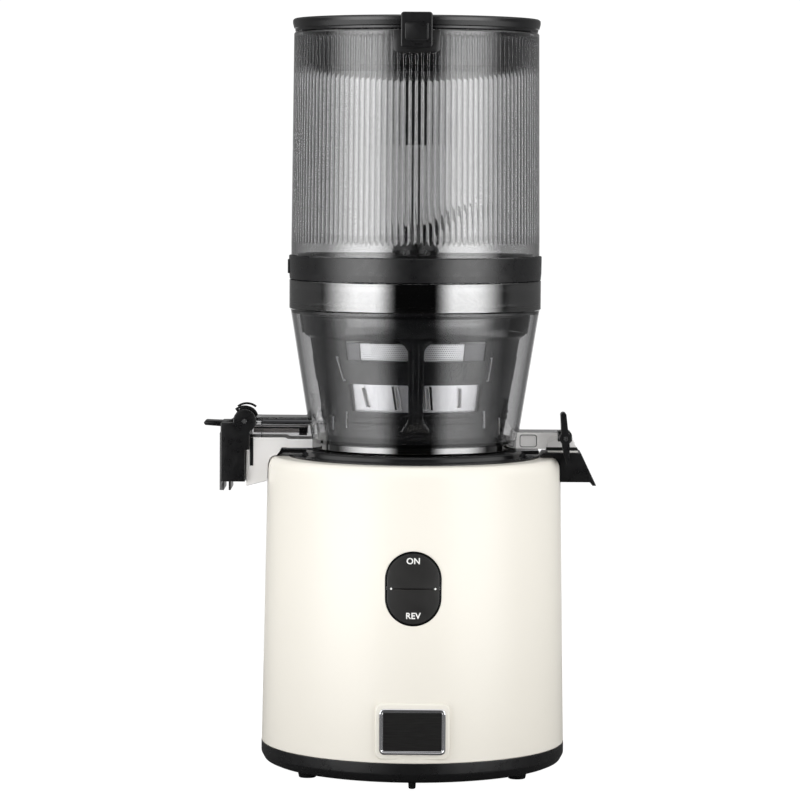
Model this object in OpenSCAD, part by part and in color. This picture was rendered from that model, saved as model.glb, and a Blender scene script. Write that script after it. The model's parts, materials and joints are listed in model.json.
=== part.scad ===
// Free-standing self-feeding slow juicer.
// The drive axis is the Z axis, the feet stand on z = 0 and the front faces -Y.
// Lengths are in millimetres.

/* [Base] */
// Radius of the base shell at its lower edge
base_r0 = 91.9; // [91.2:0.1:92.4]
// Radius of the base shell just under its shoulder
base_r1 = 88.9; // [88.6:0.1:89.3]
// Height of the base shell's lower edge above the table
base_z0 = 18.4; // [17.6:0.1:19.0]
// Wall thickness of the base shell
base_wall = 2.8; // [2.2:0.1:3.2]
// Height of the feet under the bottom cover
foot_h = 6.2; // [5.6:0.1:6.2]

/* [Chamber] */
// Outer radius of the juice bowl at its foot
bowl_r0 = 62.0; // [61.8:0.1:62.3]
// Outer radius of the juice bowl under its rim band
bowl_r1 = 75.1; // [74.8:0.1:75.2]
// Wall thickness of the juice bowl
bowl_wall = 2.4; // [2.2:0.1:2.6]
// Ribs of the strainer cage, with a window on both sides of each
cage_ribs = 3; // [3:1:3]

/* [Hopper] */
// Outer radius of the hopper at its rim
hopper_r1 = 73.9; // [73.6:0.1:74.2]
// Outer radius of the hopper where it meets its ring
hopper_r0 = 75.1; // [74.8:0.1:75.3]
// Height of the hopper's rim above the table
hopper_z1 = 447.5; // [446.5:0.1:447.6]
// Radius of the lid
lid_r = 74.7; // [74.2:0.1:75.0]

/* [Drive] */
// Teeth on the motor pinion and on the second pinion
pinion_z = 12; // [12:1:12]
// Teeth on the big reduction wheel
wheel_z = 84; // [84:1:84]
// Teeth on the output wheel
output_z = 48; // [48:1:48]
// Width across the corners of the hexagonal drive end
hex_d = 15.0; // [14.6:0.1:15.0]

/* [Switch] */
// Width of the rocker
rocker_w = 30.7; // [30.2:0.1:31.0]
// Height of the rocker
rocker_h = 41.5; // [41.0:0.1:41.8]
// Height of the rocker's middle above the table
rocker_z = 121.1; // [118:0.1:124]

/* [Hidden] */
$fn = 96;

base_z1 = 192.0;              // top of the cream shell
deck_z = 196.2;               // top of the deck
hous_ri0 = base_r0 - base_wall;
hous_ri1 = base_r1 - base_wall;
gear_m1 = 0.75;               // module of the first gear pair
gear_m2 = 1.2;                // module of the second gear pair
gear_a = gear_m1 * (pinion_z + wheel_z) / 2;   // 36, the distance between the axles
lug_xy = [[-43, -10], [43, -10], [-43, 46], [43, 46]];
bolt_a = [45, 135, 225, 315];
hinge_y = 80.5;               // lid hinge axis
hinge_z = 449.5;
cap_x = -102.4;               // juice cap pivot
cap_z = 213.3;
lev_x = 90.8;                 // pulp lever pivot
lev_z = 204.8;
out_y = 12.5;                 // half width of the juice outlet
can_y = 13.0;                 // half width of the pulp outlet

// radius of the base shell and of the bowl at height z
function shell_r(z) = base_r0 + (base_r1 - base_r0) * (z - base_z0) / (184.5 - base_z0);
function bowl_r(z) = bowl_r0 + (bowl_r1 - bowl_r0) * (z - 196.6) / (279.2 - 196.6);
function hop_r(z) = hopper_r0 + (hopper_r1 - hopper_r0) * (z - 313.4) / (hopper_z1 - 313.4);
// outer radius of the strainer cage at height z
function cage_r(z) = 53.2 + (64.0 - 53.2) * (z - 200) / (264 - 200);

// involute gear outline: z teeth, module m, pressure angle 25 degrees
function inv_deg(a) = tan(a) * 180 / PI - a;
function tooth_half(z, m, r, pa) = 88.6 / z + inv_deg(pa) - inv_deg(acos(min(1, m * z / 2 * cos(pa) / r)));
function gear_pts(z, m, steps, pa = 25) =
  let (rb = m * z / 2 * cos(pa), ra = m * z / 2 + m, rf = m * z / 2 - 1.25 * m, r0 = max(rb, rf))
  [for (i = [0:z - 1])
    let (c = 360 * i / z, h0 = tooth_half(z, m, r0, pa))
    each concat(
      [rf * [cos(c - h0), sin(c - h0)]],
      [for (k = [rf < rb ? 0 : 1:steps]) let (r = r0 + (ra - r0) * k / steps, h = tooth_half(z, m, r, pa)) r * [cos(c - h), sin(c - h)]],
      [for (k = [steps:-1:rf < rb ? 0 : 1]) let (r = r0 + (ra - r0) * k / steps, h = tooth_half(z, m, r, pa)) r * [cos(c + h), sin(c + h)]],
      [rf * [cos(c + h0), sin(c + h0)]])];

module rev(pts) rotate_extrude($fn = 144) polygon(pts);
module ring(ri, ro, z0, z1) translate([0, 0, z0]) linear_extrude(z1 - z0) difference() { circle(ro); circle(ri); }
// rod along Y from y0 to y1 centred on (x, z)
module rod_y(x, z, r, y0, y1) translate([x, y1, z]) rotate([90, 0, 0]) cylinder(r = r, h = y1 - y0);
module rod_x(y, z, r, x0, x1) translate([x0, y, z]) rotate([0, 90, 0]) cylinder(r = r, h = x1 - x0);
module box(a, b) translate(a) cube(b - a);
// rectangle with round corners, centred
module rrect(w, h, r) {
  square([w - 2 * r, h], center = true);
  square([w, h - 2 * r], center = true);
  for (x = [-1, 1], y = [-1, 1]) translate([x * (w / 2 - r), y * (h / 2 - r)]) circle(r, $fn = 40);
}
// slot outline, long way up
module stadium(w, h) {
  square([w, h - w], center = true);
  for (s = [-1, 1]) translate([0, s * (h - w) / 2]) circle(w / 2);
}
// outline drawn in X and Z, thickened along Y from y0 to y1
module plate_xz(y0, y1) translate([0, y1, 0]) rotate([90, 0, 0]) linear_extrude(y1 - y0) children();
// outline drawn in Y and Z, thickened along X from x0 to x1
module plate_yz(x0, x1) translate([x0, 0, 0]) rotate([90, 0, 90]) linear_extrude(x1 - x0) children();

// ---------- base ----------
module base_housing() color([0.94, 0.93, 0.89]) {
  difference() {
    union() {
      rev([[hous_ri0, base_z0], [base_r0, base_z0], [shell_r(100), 100], [base_r1, 184.5],
        [base_r1 - 0.35, 187.2], [base_r1 - 1.3, 189.6], [base_r1 - 2.7, 191.2], [base_r1 - 4.6, base_z1],
        [76.3, base_z1], [76.0, base_z1 - 0.3], [76.0, 189.4], [hous_ri1 - 2.6, 189.2], [hous_ri1 - 0.6, 186.6], [hous_ri1, 183.5], [shell_r(100) - base_wall, 100]]);
      // flat pad that carries the badge
      difference() {
        plate_xz(-92.0, -86) translate([0, 37.3]) rrect(43.8, 33.2, 4);
        translate([0, 0, 10]) cylinder(r = 89.4, h = 60);
      }
      // bosses for the cover screws
      for (a = bolt_a) rotate(a) difference() {
        union() {
          translate([80.5, 0, 9.4]) cylinder(r = 4.6, h = 44.6);
          box([80.5, -2, 25], [89.6, 2, 54]);
        }
      }
      // flat landing for the cord gland
      intersection() {
        plate_xz(85.5, 91.2) translate([0, 36]) rrect(24, 24, 5);
        cylinder(r = 92, h = 60);
      }
    }
    // screw holes
    for (a = bolt_a) rotate(a) translate([80.5, 0, 5]) cylinder(r = 1.5, h = 30, $fn = 32);
    // rocker opening
    plate_xz(-96, -80) translate([0, rocker_z]) stadium(rocker_w + 2.5, rocker_h + 2.5);
    // cord hole
    rod_y(0, 36, 7.5, 80, 96);
    // badge stud holes
    for (x = [-14, 14]) rod_y(x, 37.3, 1.3, -96, -80);
  }
}

module top_deck() color([0.10, 0.10, 0.11]) difference() {
  union() {
    rev([[75.6, 190], [75.6, 192.4], [75.2, 192.9], [68.6, 192.9], [68.1, 193.3], [67.7, 195.4], [66.9, deck_z], [56.8, deck_z], [56.8, 192.8], [18.4, 192.8], [18.4, deck_z],
      [13.1, deck_z], [13.1, 186.6], [17, 186.6], [17, 190]]);
    // ledges under the two outlets
    plate_xz(-12.5, 12.5) polygon([[-83.6, 192.3], [-80.6, deck_z], [-62, deck_z], [-62, 194.0], [-79, 194.0], [-81.6, 192.3]]);
    box([62, -12.5, 194.0], [75.4, 12.5, deck_z]);
    for (p = lug_xy) translate([p[0], p[1], 154.2]) cylinder(r = 5, h = 36.5);
    // ribs that tie the bosses together
    for (s = [-1, 1]) box([s > 0 ? 12 : -43, -11.2, 182], [s > 0 ? 43 : -12, -8.8, 190.5]);
    box([-43, 44.8, 182], [43, 47.2, 190.5]);
  }
  for (p = lug_xy) translate([p[0], p[1], 150]) cylinder(r = 1.5, h = 30, $fn = 32);
  // room for the bearing tower
  translate([0, 0, 170]) cylinder(r = 18, h = 16.6);
}

module bottom_cover() color([0.12, 0.12, 0.13]) difference() {
  union() {
    rev([[0, foot_h], [87.0, foot_h], [89.3, 7.4], [91.2, 9.4], [92.1, 12.0], [92.1, base_z0 - 0.1], [88.9, base_z0 - 0.1], [88.6, 24], [86.4, 24], [86.0, 9.2], [0, 9.2]]);
    // rails for the circuit board
    for (s = [-1, 1]) translate([s * 28.5, -59, 9]) translate([-3, -3.5, 0]) cube([6, 7, 61]);
    // saddle for the capacitor
    box([-70, -23, 9], [-54, 23, 15]);
  }
  // air slots
  for (i = [0:15]) rotate(i * 22.5 + 11.25) translate([36, -2, 0]) cube([16, 4, 20]);
  // screw holes with counterbores
  for (a = bolt_a) rotate(a) translate([80.5, 0, 0]) { cylinder(r = 1.8, h = 20, $fn = 32); cylinder(r = 3.6, h = 7.8, $fn = 40); }
  // sockets for the feet
  for (p = feet_xy) translate([p[0], p[1], 0]) cylinder(r = 2.5, h = 12, $fn = 40);
  translate([0, -71, 0]) cylinder(r = 1.2, h = 12, $fn = 32);
  // board slots
  for (s = [-1, 1]) box([s > 0 ? 25.2 : -29.8, -59.85, 12], [s > 0 ? 29.8 : -25.2, -58.15, 71]);
  // capacitor bed
  rod_y(-62, 30, 16.2, -25, 25);
}
feet_xy = [for (a = [-62.6, 62.6, -120, 120]) 71 * [sin(a), -cos(a)]];

module rubber_feet() color([0.08, 0.08, 0.08]) {
  for (p = feet_xy) translate([p[0], p[1], 0]) {
    rev([[0, 0], [5.2, 0], [5.8, 0.6], [6.4, foot_h - 0.02], [0, foot_h - 0.02]]);
    translate([0, 0, foot_h - 0.05]) cylinder(r = 2.45, h = 4.2, $fn = 40);
  }
  translate([0, -71, 0]) {
    rev([[0, 0], [1.3, 0], [2.1, 0.8], [2.4, 2.4], [2.4, foot_h - 0.02], [0, foot_h - 0.02]]);
    translate([0, 0, foot_h - 0.05]) cylinder(r = 1.15, h = 4.2, $fn = 32);
  }
}

module base_screws() color([0.7, 0.7, 0.72]) for (a = bolt_a) rotate(a) translate([80.5, 0, 0]) difference() {
  union() { translate([0, 0, 6.4]) cylinder(r = 3.3, h = 1.35, $fn = 40); translate([0, 0, 7.7]) cylinder(r = 1.48, h = 20, $fn = 32); }
  for (q = [0, 90]) rotate(q) translate([-1.6, -0.35, 6.3]) cube([3.2, 0.7, 0.8]);
}

module switch_bezel() color([0.08, 0.08, 0.09]) difference() {
  intersection() {
    union() {
      plate_xz(-92, -78) translate([0, rocker_z]) stadium(rocker_w + 2.3, rocker_h + 2.3);
      plate_xz(-84.2, -78) translate([0, rocker_z]) stadium(rocker_w + 7, rocker_h + 7);
    }
    cylinder(r = 90.25, h = 200, $fn = 180);
    union() {
      cylinder(r = 86.6, h = 200, $fn = 180);
      plate_xz(-92, -78) translate([0, rocker_z]) stadium(rocker_w + 2.3, rocker_h + 2.3);
    }
  }
  plate_xz(-93, -79.6) translate([0, rocker_z]) stadium(rocker_w + 0.9, rocker_h + 0.9);
  box([-9, -80, rocker_z - 12], [9, -77, rocker_z + 12]);
  rod_x(-85.9, rocker_z, 1.22, -20, 20);
}

module rocker_pin() color([0.75, 0.75, 0.77]) rod_x(-85.9, rocker_z, 1.2, -rocker_w / 2 - 1, rocker_w / 2 + 1);

module switch_module() color([0.15, 0.15, 0.16]) union() {
  box([-8.6, -79.4, rocker_z - 11.6], [8.6, -63, rocker_z + 11.6]);
  box([-16, -77.95, rocker_z - 15.5], [16, -76, rocker_z + 15.5]);
  for (x = [-5, 5], z = [-7, 0, 7]) box([x - 0.4, -63.1, rocker_z + z - 2], [x + 0.4, -60.4, rocker_z + z + 2]);
}

module control_board() color([0.10, 0.36, 0.18]) union() {
  box([-29.5, -59.7, 12.4], [29.5, -58.3, 84]);
  box([-22, -58.4, 60], [-6, -49, 76]);
  box([2, -58.4, 58], [18, -48, 68]);
  rod_y(12, 76, 5, -58.4, -47);
  rod_y(-14, 30, 4, -58.4, -50);
  for (x = [-3, 8, 19]) box([x, -58.4, 24], [x + 6, -53, 34]);
}

module run_capacitor() color([0.85, 0.85, 0.84]) union() {
  rod_y(-62, 30, 16, -22, 22);
  for (z = [26, 34]) rod_y(-62, z, 1.6, 21, 27);
}

module badge_frame() color([0.80, 0.80, 0.82]) union() {
  plate_xz(-93.9, -92.02) translate([0, 37.3]) difference() { rrect(39.1, 27.3, 3.2); rrect(34.4, 22.6, 1.6); }
  plate_xz(-92.8, -92.02) translate([0, 37.3]) rrect(36, 24, 2);
  for (x = [-14, 14]) rod_y(x, 37.3, 1.28, -92.1, -86);
}

module badge_plate() color([0.22, 0.22, 0.23]) plate_xz(-93.5, -92.82) translate([0, 37.3]) rrect(34.3, 22.5, 1.5);

module cord_gland() color([0.09, 0.09, 0.10]) difference() {
  union() {
    rod_y(0, 36, 7.4, 83.5, 94);
    rod_y(0, 36, 10, 91.7, 94.6);
    rod_y(0, 36, 9.4, 82.4, 85.4);
  }
  rod_y(0, 36, 3.75, 80, 97);
}

// ---------- motor ----------
module motor_stator() color([0.45, 0.46, 0.48]) translate([0, 0, 50]) linear_extrude(36) difference() {
  circle(38);
  circle(22.3);
  for (a = bolt_a) rotate(a) translate([34.8, 0]) circle(1.7, $fn = 32);
  for (i = [0:11]) rotate(i * 30) {
    translate([27.5, 0]) square([9, 7.4], center = true);
    translate([22.8, 0]) square([3.4, 2], center = true);
  }
}

module stator_windings() color([0.72, 0.38, 0.20]) {
  rev([[24, 87.2], [25, 86.3], [31.6, 86.3], [33, 88.4], [31.5, 94], [25.5, 94], [24, 91]]);
  rev([[24, 48.8], [25.5, 43], [31.5, 43], [33, 47.6], [31.6, 49.7], [25, 49.7]]);
}

module motor_upper_bell() color([0.74, 0.75, 0.76]) difference() {
  rev([[34.2, 86.05], [38.4, 86.05], [38.4, 101], [36, 103.9], [9.02, 103.9], [9.02, 101.2], [6, 101.2], [6, 93.0], [12, 93.0], [12, 99.4], [33.4, 99.4], [34.2, 98]]);
  translate([0, 0, 90]) cylinder(r = 9.02, h = 11.2);
  for (a = bolt_a) rotate(a) translate([34.8, 0, 80]) cylinder(r = 1.7, h = 30, $fn = 32);
  for (i = [0:7]) rotate(i * 45) translate([16, -3, 98]) cube([12, 6, 8]);
}

module motor_lower_bell() color([0.74, 0.75, 0.76]) difference() {
  rev([[34.2, 49.95], [38.4, 49.95], [38.4, 36.5], [36, 34.0], [5.6, 34.0], [5.6, 36.2], [9.02, 36.2], [9.02, 43.4], [12, 43.4], [12, 37.4], [33.4, 37.4], [34.2, 39]]);
  for (a = bolt_a) rotate(a) translate([34.8, 0, 30]) cylinder(r = 1.7, h = 30, $fn = 32);
  for (i = [0:7]) rotate(i * 45) translate([16, -4, 30]) cube([14, 8, 10]);
}

module bearing(ri, ro, z0, h) {
  ring(ri, ri + (ro - ri) * 0.32, z0, z0 + h);
  ring(ro - (ro - ri) * 0.28, ro, z0, z0 + h);
  ring(ri + (ro - ri) * 0.32, ro - (ro - ri) * 0.28, z0 + h * 0.12, z0 + h * 0.88);
}

module motor_bearings() color([0.78, 0.78, 0.80]) {
  bearing(4.03, 9, 36.3, 7);
  bearing(4.03, 9, 94.1, 7);
}

module motor_bolts() color([0.6, 0.6, 0.62]) for (a = bolt_a) rotate(a) translate([34.8, 0, 0]) {
  translate([0, 0, 33]) cylinder(r = 1.65, h = 74, $fn = 32);
  translate([0, 0, 31]) cylinder(r = 3.2, h = 2.9, $fn = 6);
}

// ---------- gearbox ----------
module obround(r) union() { circle(r); translate([0, gear_a]) circle(r); translate([-r, 0]) square([2 * r, gear_a]); }

module gearbox_base() color([0.68, 0.69, 0.70]) difference() {
  translate([0, 0, 104]) linear_extrude(6) obround(37.5);
  translate([0, 0, 100]) cylinder(r = 9.5, h = 20);
  translate([0, gear_a, 103]) cylinder(r = 4.0, h = 10);
  for (a = bolt_a) rotate(a) translate([34.8, 0, 100]) cylinder(r = 1.66, h = 7.2, $fn = 32);
}

module gearbox_cover() color([0.64, 0.65, 0.67]) difference() {
  union() {
    translate([0, 0, 110.05]) linear_extrude(41.0) obround(37.5);
    translate([0, 0, 150]) cylinder(r = 17, h = 30);
    for (p = lug_xy) {
      translate([p[0], p[1], 143]) cylinder(r = 6, h = 8);
      box([min(p[0], p[0] > 0 ? 34 : -60), p[1] - 4, 144], [max(p[0], p[0] > 0 ? 60 : -34), p[1] + 4, 150.5]) ;
    }
  }
  translate([0, 0, 110]) linear_extrude(38) obround(34.8);
  translate([0, 0, 147]) cylinder(r = 12, h = 10);
  translate([0, 0, 151.2]) cylinder(r = 14.02, h = 40);
  translate([0, gear_a, 147]) cylinder(r = 4.0, h = 3.2);
  for (p = lug_xy) translate([p[0], p[1], 140]) cylinder(r = 1.8, h = 20, $fn = 32);
  // the lugs end at their round ends
  for (s = [-1, 1]) box([s > 0 ? 49.1 : -70, -30, 140], [s > 0 ? 70 : -49.1, 80, 152]);
}

module gearbox_screws() color([0.6, 0.6, 0.62]) for (p = lug_xy) translate([p[0], p[1], 0]) {
  translate([0, 0, 142]) cylinder(r = 1.48, h = 36, $fn = 32);
  translate([0, 0, 140.2]) cylinder(r = 3.2, h = 2.7, $fn = 40);
}

module mount_grommets() color([0.10, 0.10, 0.10]) for (p = lug_xy) translate([p[0], p[1], 0]) ring(1.9, 6, 151.05, 154.15);

module idler_axle() color([0.78, 0.78, 0.80]) translate([0, gear_a, 104.3]) cylinder(r = 4.0, h = 45.8);

module output_bearings() color([0.78, 0.78, 0.80]) {
  bearing(7.53, 14, 151.3, 7);
  ring(12.2, 14, 158.4, 171);
  bearing(7.53, 14, 171.1, 7);
}

module shaft_seal() color([0.15, 0.15, 0.16]) rev([[7.58, 188.4], [9, 187.2], [13.05, 187.2], [13.05, 195.6], [9.4, 195.6], [8.6, 192], [8.3, 195], [7.58, 195]]);

// ---------- moving drive ----------
module rotor_core() color([0.5, 0.5, 0.52]) translate([0, 0, 50]) linear_extrude(36) difference() {
  circle(21.8);
  circle(4.0);
  for (i = [0:17]) rotate(i * 20) translate([19, 0]) circle(1.3, $fn = 24);
}

module rotor_shaft() color([0.78, 0.78, 0.80]) {
  translate([0, 0, 22]) cylinder(r = 4.0, h = 89.5);
  rotate(90) translate([0, 0, 111.4]) linear_extrude(13) polygon(gear_pts(pinion_z, gear_m1, 3));
}

module cooling_fan() color([0.86, 0.86, 0.84]) difference() {
  union() {
    translate([0, 0, 23.5]) cylinder(r = 8, h = 8.5);
    translate([0, 0, 23.5]) cylinder(r = 30, h = 1.4);
    for (i = [0:8]) rotate(i * 40) translate([0, 0, 24.7]) linear_extrude(6) polygon([[7, -1], [18, 1.2], [29.5, 6], [29, 7.4], [17.5, 2.6], [7, 0.6]]);
  }
  translate([0, 0, 20]) cylinder(r = 4.0, h = 20);
}

module reduction_gear() color([0.9, 0.88, 0.8]) translate([0, gear_a, 0]) difference() {
  union() {
    rotate(-90 - 180 / wheel_z) translate([0, 0, 112.6]) linear_extrude(9.6) polygon(gear_pts(wheel_z, gear_m1, 2));
    rotate(-90) translate([0, 0, 122]) linear_extrude(23) polygon(gear_pts(pinion_z, gear_m2, 3));
    translate([0, 0, 111.2]) cylinder(r = 8, h = 2);
    translate([0, 0, 144.9]) cylinder(r = 5.6, h = 1.6);
  }
  translate([0, 0, 100]) cylinder(r = 4.05, h = 60);
  for (i = [0:5]) rotate(i * 60) translate([19, 0, 110]) cylinder(r = 6, h = 13);
}

module output_gear() color([0.66, 0.66, 0.68]) difference() {
  union() {
    rotate(90 - 180 / output_z) translate([0, 0, 127.6]) linear_extrude(15) polygon(gear_pts(output_z, gear_m2, 2));
    translate([0, 0, 142]) cylinder(r = 12, h = 5.2);
  }
  translate([0, 0, 120]) cylinder(r = 7.5, h = 40);
  difference() { translate([0, 0, 138]) cylinder(r = 24.5, h = 8); translate([0, 0, 137]) cylinder(r = 12, h = 10); }
}

module drive_shaft() color([0.80, 0.80, 0.82]) difference() {
  union() {
    translate([0, 0, 126.2]) cylinder(r = 7.5, h = 70.6);
    translate([0, 0, 196.7]) cylinder(r = hex_d / 2, h = 23.3, $fn = 6);
  }
  // lead-in on the hexagon
  difference() { translate([0, 0, 218]) cylinder(r = 12, h = 4); translate([0, 0, 217.9]) cylinder(r1 = 7.6, r2 = 5.4, h = 2.2); }
}

module rocker_switch() color([0.09, 0.09, 0.10]) difference() {
  intersection() {
    union() {
      plate_xz(-92, -83.9) translate([0, rocker_z]) stadium(rocker_w, rocker_h);
      box([-8.5, -85, rocker_z - 4], [8.5, -80.6, rocker_z + 4]);
    }
    cylinder(r = 90.4, h = 200, $fn = 180);
  }
  rod_x(-85.9, rocker_z, 1.25, -20, 20);
  // groove between the two halves
  box([-20, -92, rocker_z - 0.3], [20, -89.8, rocker_z + 0.3]);
}

// ---------- chamber ----------
module juice_bowl() color([0.30, 0.31, 0.33, 0.55]) difference() {
  union() {
    rev([[14.6, 196.5], [56.6, 196.5], [bowl_r0 - 0.3, 196.5], [bowl_r0 + 0.5, 197.2], [bowl_r0 + 0.8, 200.8], [bowl_r(201.8), 201.8], [bowl_r1, 279.2],
      [75.6, 280.0], [75.6, 284.4], [76.2, 285.2], [76.2, 298.8], [73.2, 298.8], [72.9, 279.8], [bowl_r(278) - bowl_wall, 278],
      [bowl_r(203) - bowl_wall, 203], [bowl_r(199.6) - bowl_wall - 2.6, 199.6], [17.2, 199.6], [17.2, 206.6], [14.6, 206.6]]);
    // locating ring that sits in the deck
    ring(50.5, 56.4, 193.2, 196.6);
    // juice outlet: channel and spout
    plate_yz(-100, -58) translate([0, 206.1]) rrect(2 * out_y, 18.8, 5.5);
    difference() {
      box([-101.5, -out_y, 173.6], [-89.9, out_y, 215.5]);
      // slanted lower edge
      plate_xz(-20, 20) polygon([[-102, 173.5], [-89, 176.9], [-89, 170], [-102, 170]]);
    }
    // ears for the cap pin
    for (s = [-1, 1]) {
      rod_y(cap_x, cap_z, 4.6, s > 0 ? out_y - 2.2 : -out_y, s > 0 ? out_y : -out_y + 2.2);
      box([cap_x, s > 0 ? out_y - 2.2 : -out_y, cap_z - 4.6], [-98, s > 0 ? out_y : -out_y + 2.2, cap_z + 2.2]);
    }
    // pulp outlet
    difference() {
      box([58, -can_y, 197.4], [101, can_y, 207.3]);
      plate_xz(-20, 20) polygon([[94.2, 207.4], [99.7, 195], [110, 195], [110, 210], [94.2, 210]]);
    }
  }
  // inside of the bowl keeps clear of what the outlets add
  rev([[17.2, 199.6], [bowl_r(199.6) - bowl_wall - 2.6, 199.6], [bowl_r(203) - bowl_wall, 203], [bowl_r(278) - bowl_wall, 278], [72.9, 279.8], [72.9, 300], [17.2, 300]]);
  // juice passage
  plate_yz(-99.4, -40) translate([0, 206.1]) rrect(2 * out_y - 4.6, 14.4, 3.6);
  box([-99.4, -out_y + 2.2, 186], [-92.0, out_y - 2.2, 213.2]);
  box([-103, -9, 187.5], [-99, 9, 202.5]);
  // open skirt under the spout
  box([-103, -out_y + 2.2, 170], [-92.0, out_y - 2.2, 183.6]);
  // bores for the cap's two stub pins
  for (s = [-1, 1]) rod_y(cap_x, cap_z, 1.5, s > 0 ? out_y - 3 : -out_y - 1, s > 0 ? out_y + 1 : -out_y + 3);
  // pulp passage, open at its end and through its floor
  box([50, -can_y + 1.9, 200.2], [110, can_y - 1.9, 205.3]);
  box([86.5, -can_y + 1.9, 190], [110, can_y - 1.9, 204]);
}

module bowl_seal() color([0.72, 0.72, 0.72]) rev([[13.0, 198.0], [14.58, 197.4], [14.58, 203.4], [13.4, 203.4], [13.0, 201]]);

module strainer_cage() color([0.16, 0.16, 0.17]) difference() {
  rev([[cage_r(199.7) - 3.2, 199.7], [cage_r(199.7), 199.7], [cage_r(216), 216], [cage_r(216) + 0.5, 216.4], [cage_r(219) + 0.5, 219], [cage_r(219.4), 219.4],
    [cage_r(264), 264], [66.8, 266], [68.6, 277.6], [72.4, 280.2], [72.4, 283.6], [70.0, 283.6], [66.4, 279.4], [64.6, 268.2], [cage_r(263) - 2.2, 263], [cage_r(203) - 2.2, 203]]);
  // two rows of windows either side of each rib
  for (k = [0:cage_ribs - 1]) rotate(k * 360 / cage_ribs + 0.7) for (a0 = [4.3, -41.3]) {
    window(a0, a0 + 37, 252.4, 263.4);
    window(a0, a0 + 37, 221.9, 238.3);
  }
  // wiper slots beside the windows
  for (k = [0:cage_ribs - 1]) rotate(k * 360 / cage_ribs) for (a0 = [-46.4, 45.4]) window(a0, a0 + 1.7, 239.7, 254.6);
  // lower wiper slots, at the front only
  window(-46.1, -44.4, 211.3, 221.7);
  window(45.6, 48.0, 211.3, 222.6);
  window(-60.2, -58.4, 209.3, 217.9);
  window(64.2, 66.8, 206.0, 217.6);
  // notch in the collar on the pulp side
  window(54.5, 126, 266.4, 278.2);
  // port for the pulp
  box([40, -10, 195], [60, 10, 205.2]);
}
// window in the cage between angles a0 and a1 measured from the front
module window(a0, a1, z0, z1) translate([0, 0, z0]) linear_extrude(z1 - z0)
  polygon(concat([[0, 0]], [for (k = [0:3]) let (a = a0 + (a1 - a0) * k / 3 - 90) 90 * [cos(a), sin(a)]]));

module strainer_screen() color([0.75, 0.75, 0.76]) difference() {
  rev([[cage_r(200) - 3.25 - 0.9, 200.2], [cage_r(200) - 3.25, 200.2], [cage_r(203.4) - 2.3, 203.4], [cage_r(262.6) - 2.3, 262.6], [cage_r(262.6) - 3.3, 262.6], [cage_r(203.4) - 3.3, 203.4]]);
  box([40, -10, 195], [60, 10, 205.2]);
  // rows of drain slits
  for (r = [0:3], i = [0:23]) rotate(i * 15 + (r % 2) * 7.5) translate([50, -0.4, 208 + r * 14]) cube([16, 0.8, 9]);
}

module outlet_gasket() color([0.08, 0.08, 0.08]) difference() {
  box([80.4, -can_y, 196.0], [99.2, can_y, 197.35]);
  box([87.4, -can_y + 2, 190], [97.2, can_y - 2, 200]);
  plate_xz(-20, 20) polygon([[98.5, 197.5], [99.3, 195.4], [102, 195], [102, 198]]);
}

module pulp_chute() color([0.10, 0.10, 0.11]) difference() {
  plate_xz(-14, 14) polygon([[76.2, 192.2], [86.0, 192.2], [86.0, 177.4], [106.3, 177.4], [107.9, 175.3], [110.2, 175.3], [101.4, 193.8], [77.4, 193.8]]);
  // shaft through which the pulp drops
  plate_xz(-11.8, 11.8) polygon([[91.9, 200], [91.9, 170], [105.4, 170], [104.9, 178.8], [99.0, 191.8], [95.6, 200]]);
  // clears the shell's shoulder
  rev([[60, 150], [90.1, 150], [89.3, 184.5], [88.9, 187.4], [87.9, 189.9], [86.4, 191.5], [84.4, 192.15], [60, 192.15]]);
}

module lever_bracket() color([0.09, 0.09, 0.10]) difference() {
  union() {
    box([86.6, -16.4, 202.2], [95.2, -13.05, 207.6]);
    box([86.6, -16.4, 207.35], [94.0, -6, 208.4]);
  }
  rod_y(lev_x, lev_z, 1.42, -20, -10);
  plate_xz(-30, 0) polygon([[94.2, 208.6], [96.6, 202], [100, 202], [100, 210], [94.2, 210]]);
}

module lever_pin() color([0.75, 0.75, 0.77]) rod_y(lev_x, lev_z, 1.4, -29.0, -13.1);

module cap_pin() color([0.75, 0.75, 0.77]) for (s = [-1, 1]) rod_y(cap_x, cap_z, 1.5, s > 0 ? out_y - 2.1 : -out_y - 3.8, s > 0 ? out_y + 3.8 : -out_y + 2.1);

// ---------- auger ----------
// cross-section of the screw: a round core with two curved flights
module screw_section() union() {
  circle(24, $fn = 24);
  for (q = [0, 180]) rotate(q) polygon([[20, -9], [30, -8.4], [38, -6], [44, -2], [47.6, 4], [46.4, 9], [43, 6.4], [36, 3.4], [28, 4], [20, 10]]);
}
module auger() color([0.14, 0.14, 0.15]) difference() {
  union() {
    translate([0, 0, 206]) linear_extrude(height = 82, twist = -400, slices = 28, scale = 1.2) screw_section();
    translate([0, 0, 200.6]) cylinder(r = 45, h = 5.8);
    // neck and round hub under the wing
    rev([[0, 287], [28.8, 287], [26.4, 290], [18, 296], [14.2, 304], [14.2, 318], [13.2, 320.9], [10.6, 322.4], [0, 322.6]]);
  }
  translate([0, 0, 190]) cylinder(r = 11.05, h = 36.2);
  // groove over the bowl's collar
  translate([0, 0, 190]) difference() { cylinder(r = 17.8, h = 17.4); cylinder(r = 12.7, h = 30); }
  translate([0, 0, 300]) cylinder(r = 2.42, h = 30, $fn = 32);
}

module auger_bush() color([0.80, 0.80, 0.82]) difference() {
  translate([0, 0, 197.2]) cylinder(r = 11, h = 29);
  translate([0, 0, 190]) cylinder(r = hex_d / 2 + 0.2, h = 31.2, $fn = 6);
}

module feed_spindle() color([0.12, 0.12, 0.13]) translate([0, 0, 300.2]) cylinder(r = 2.4, h = 79.0, $fn = 48);

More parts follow.
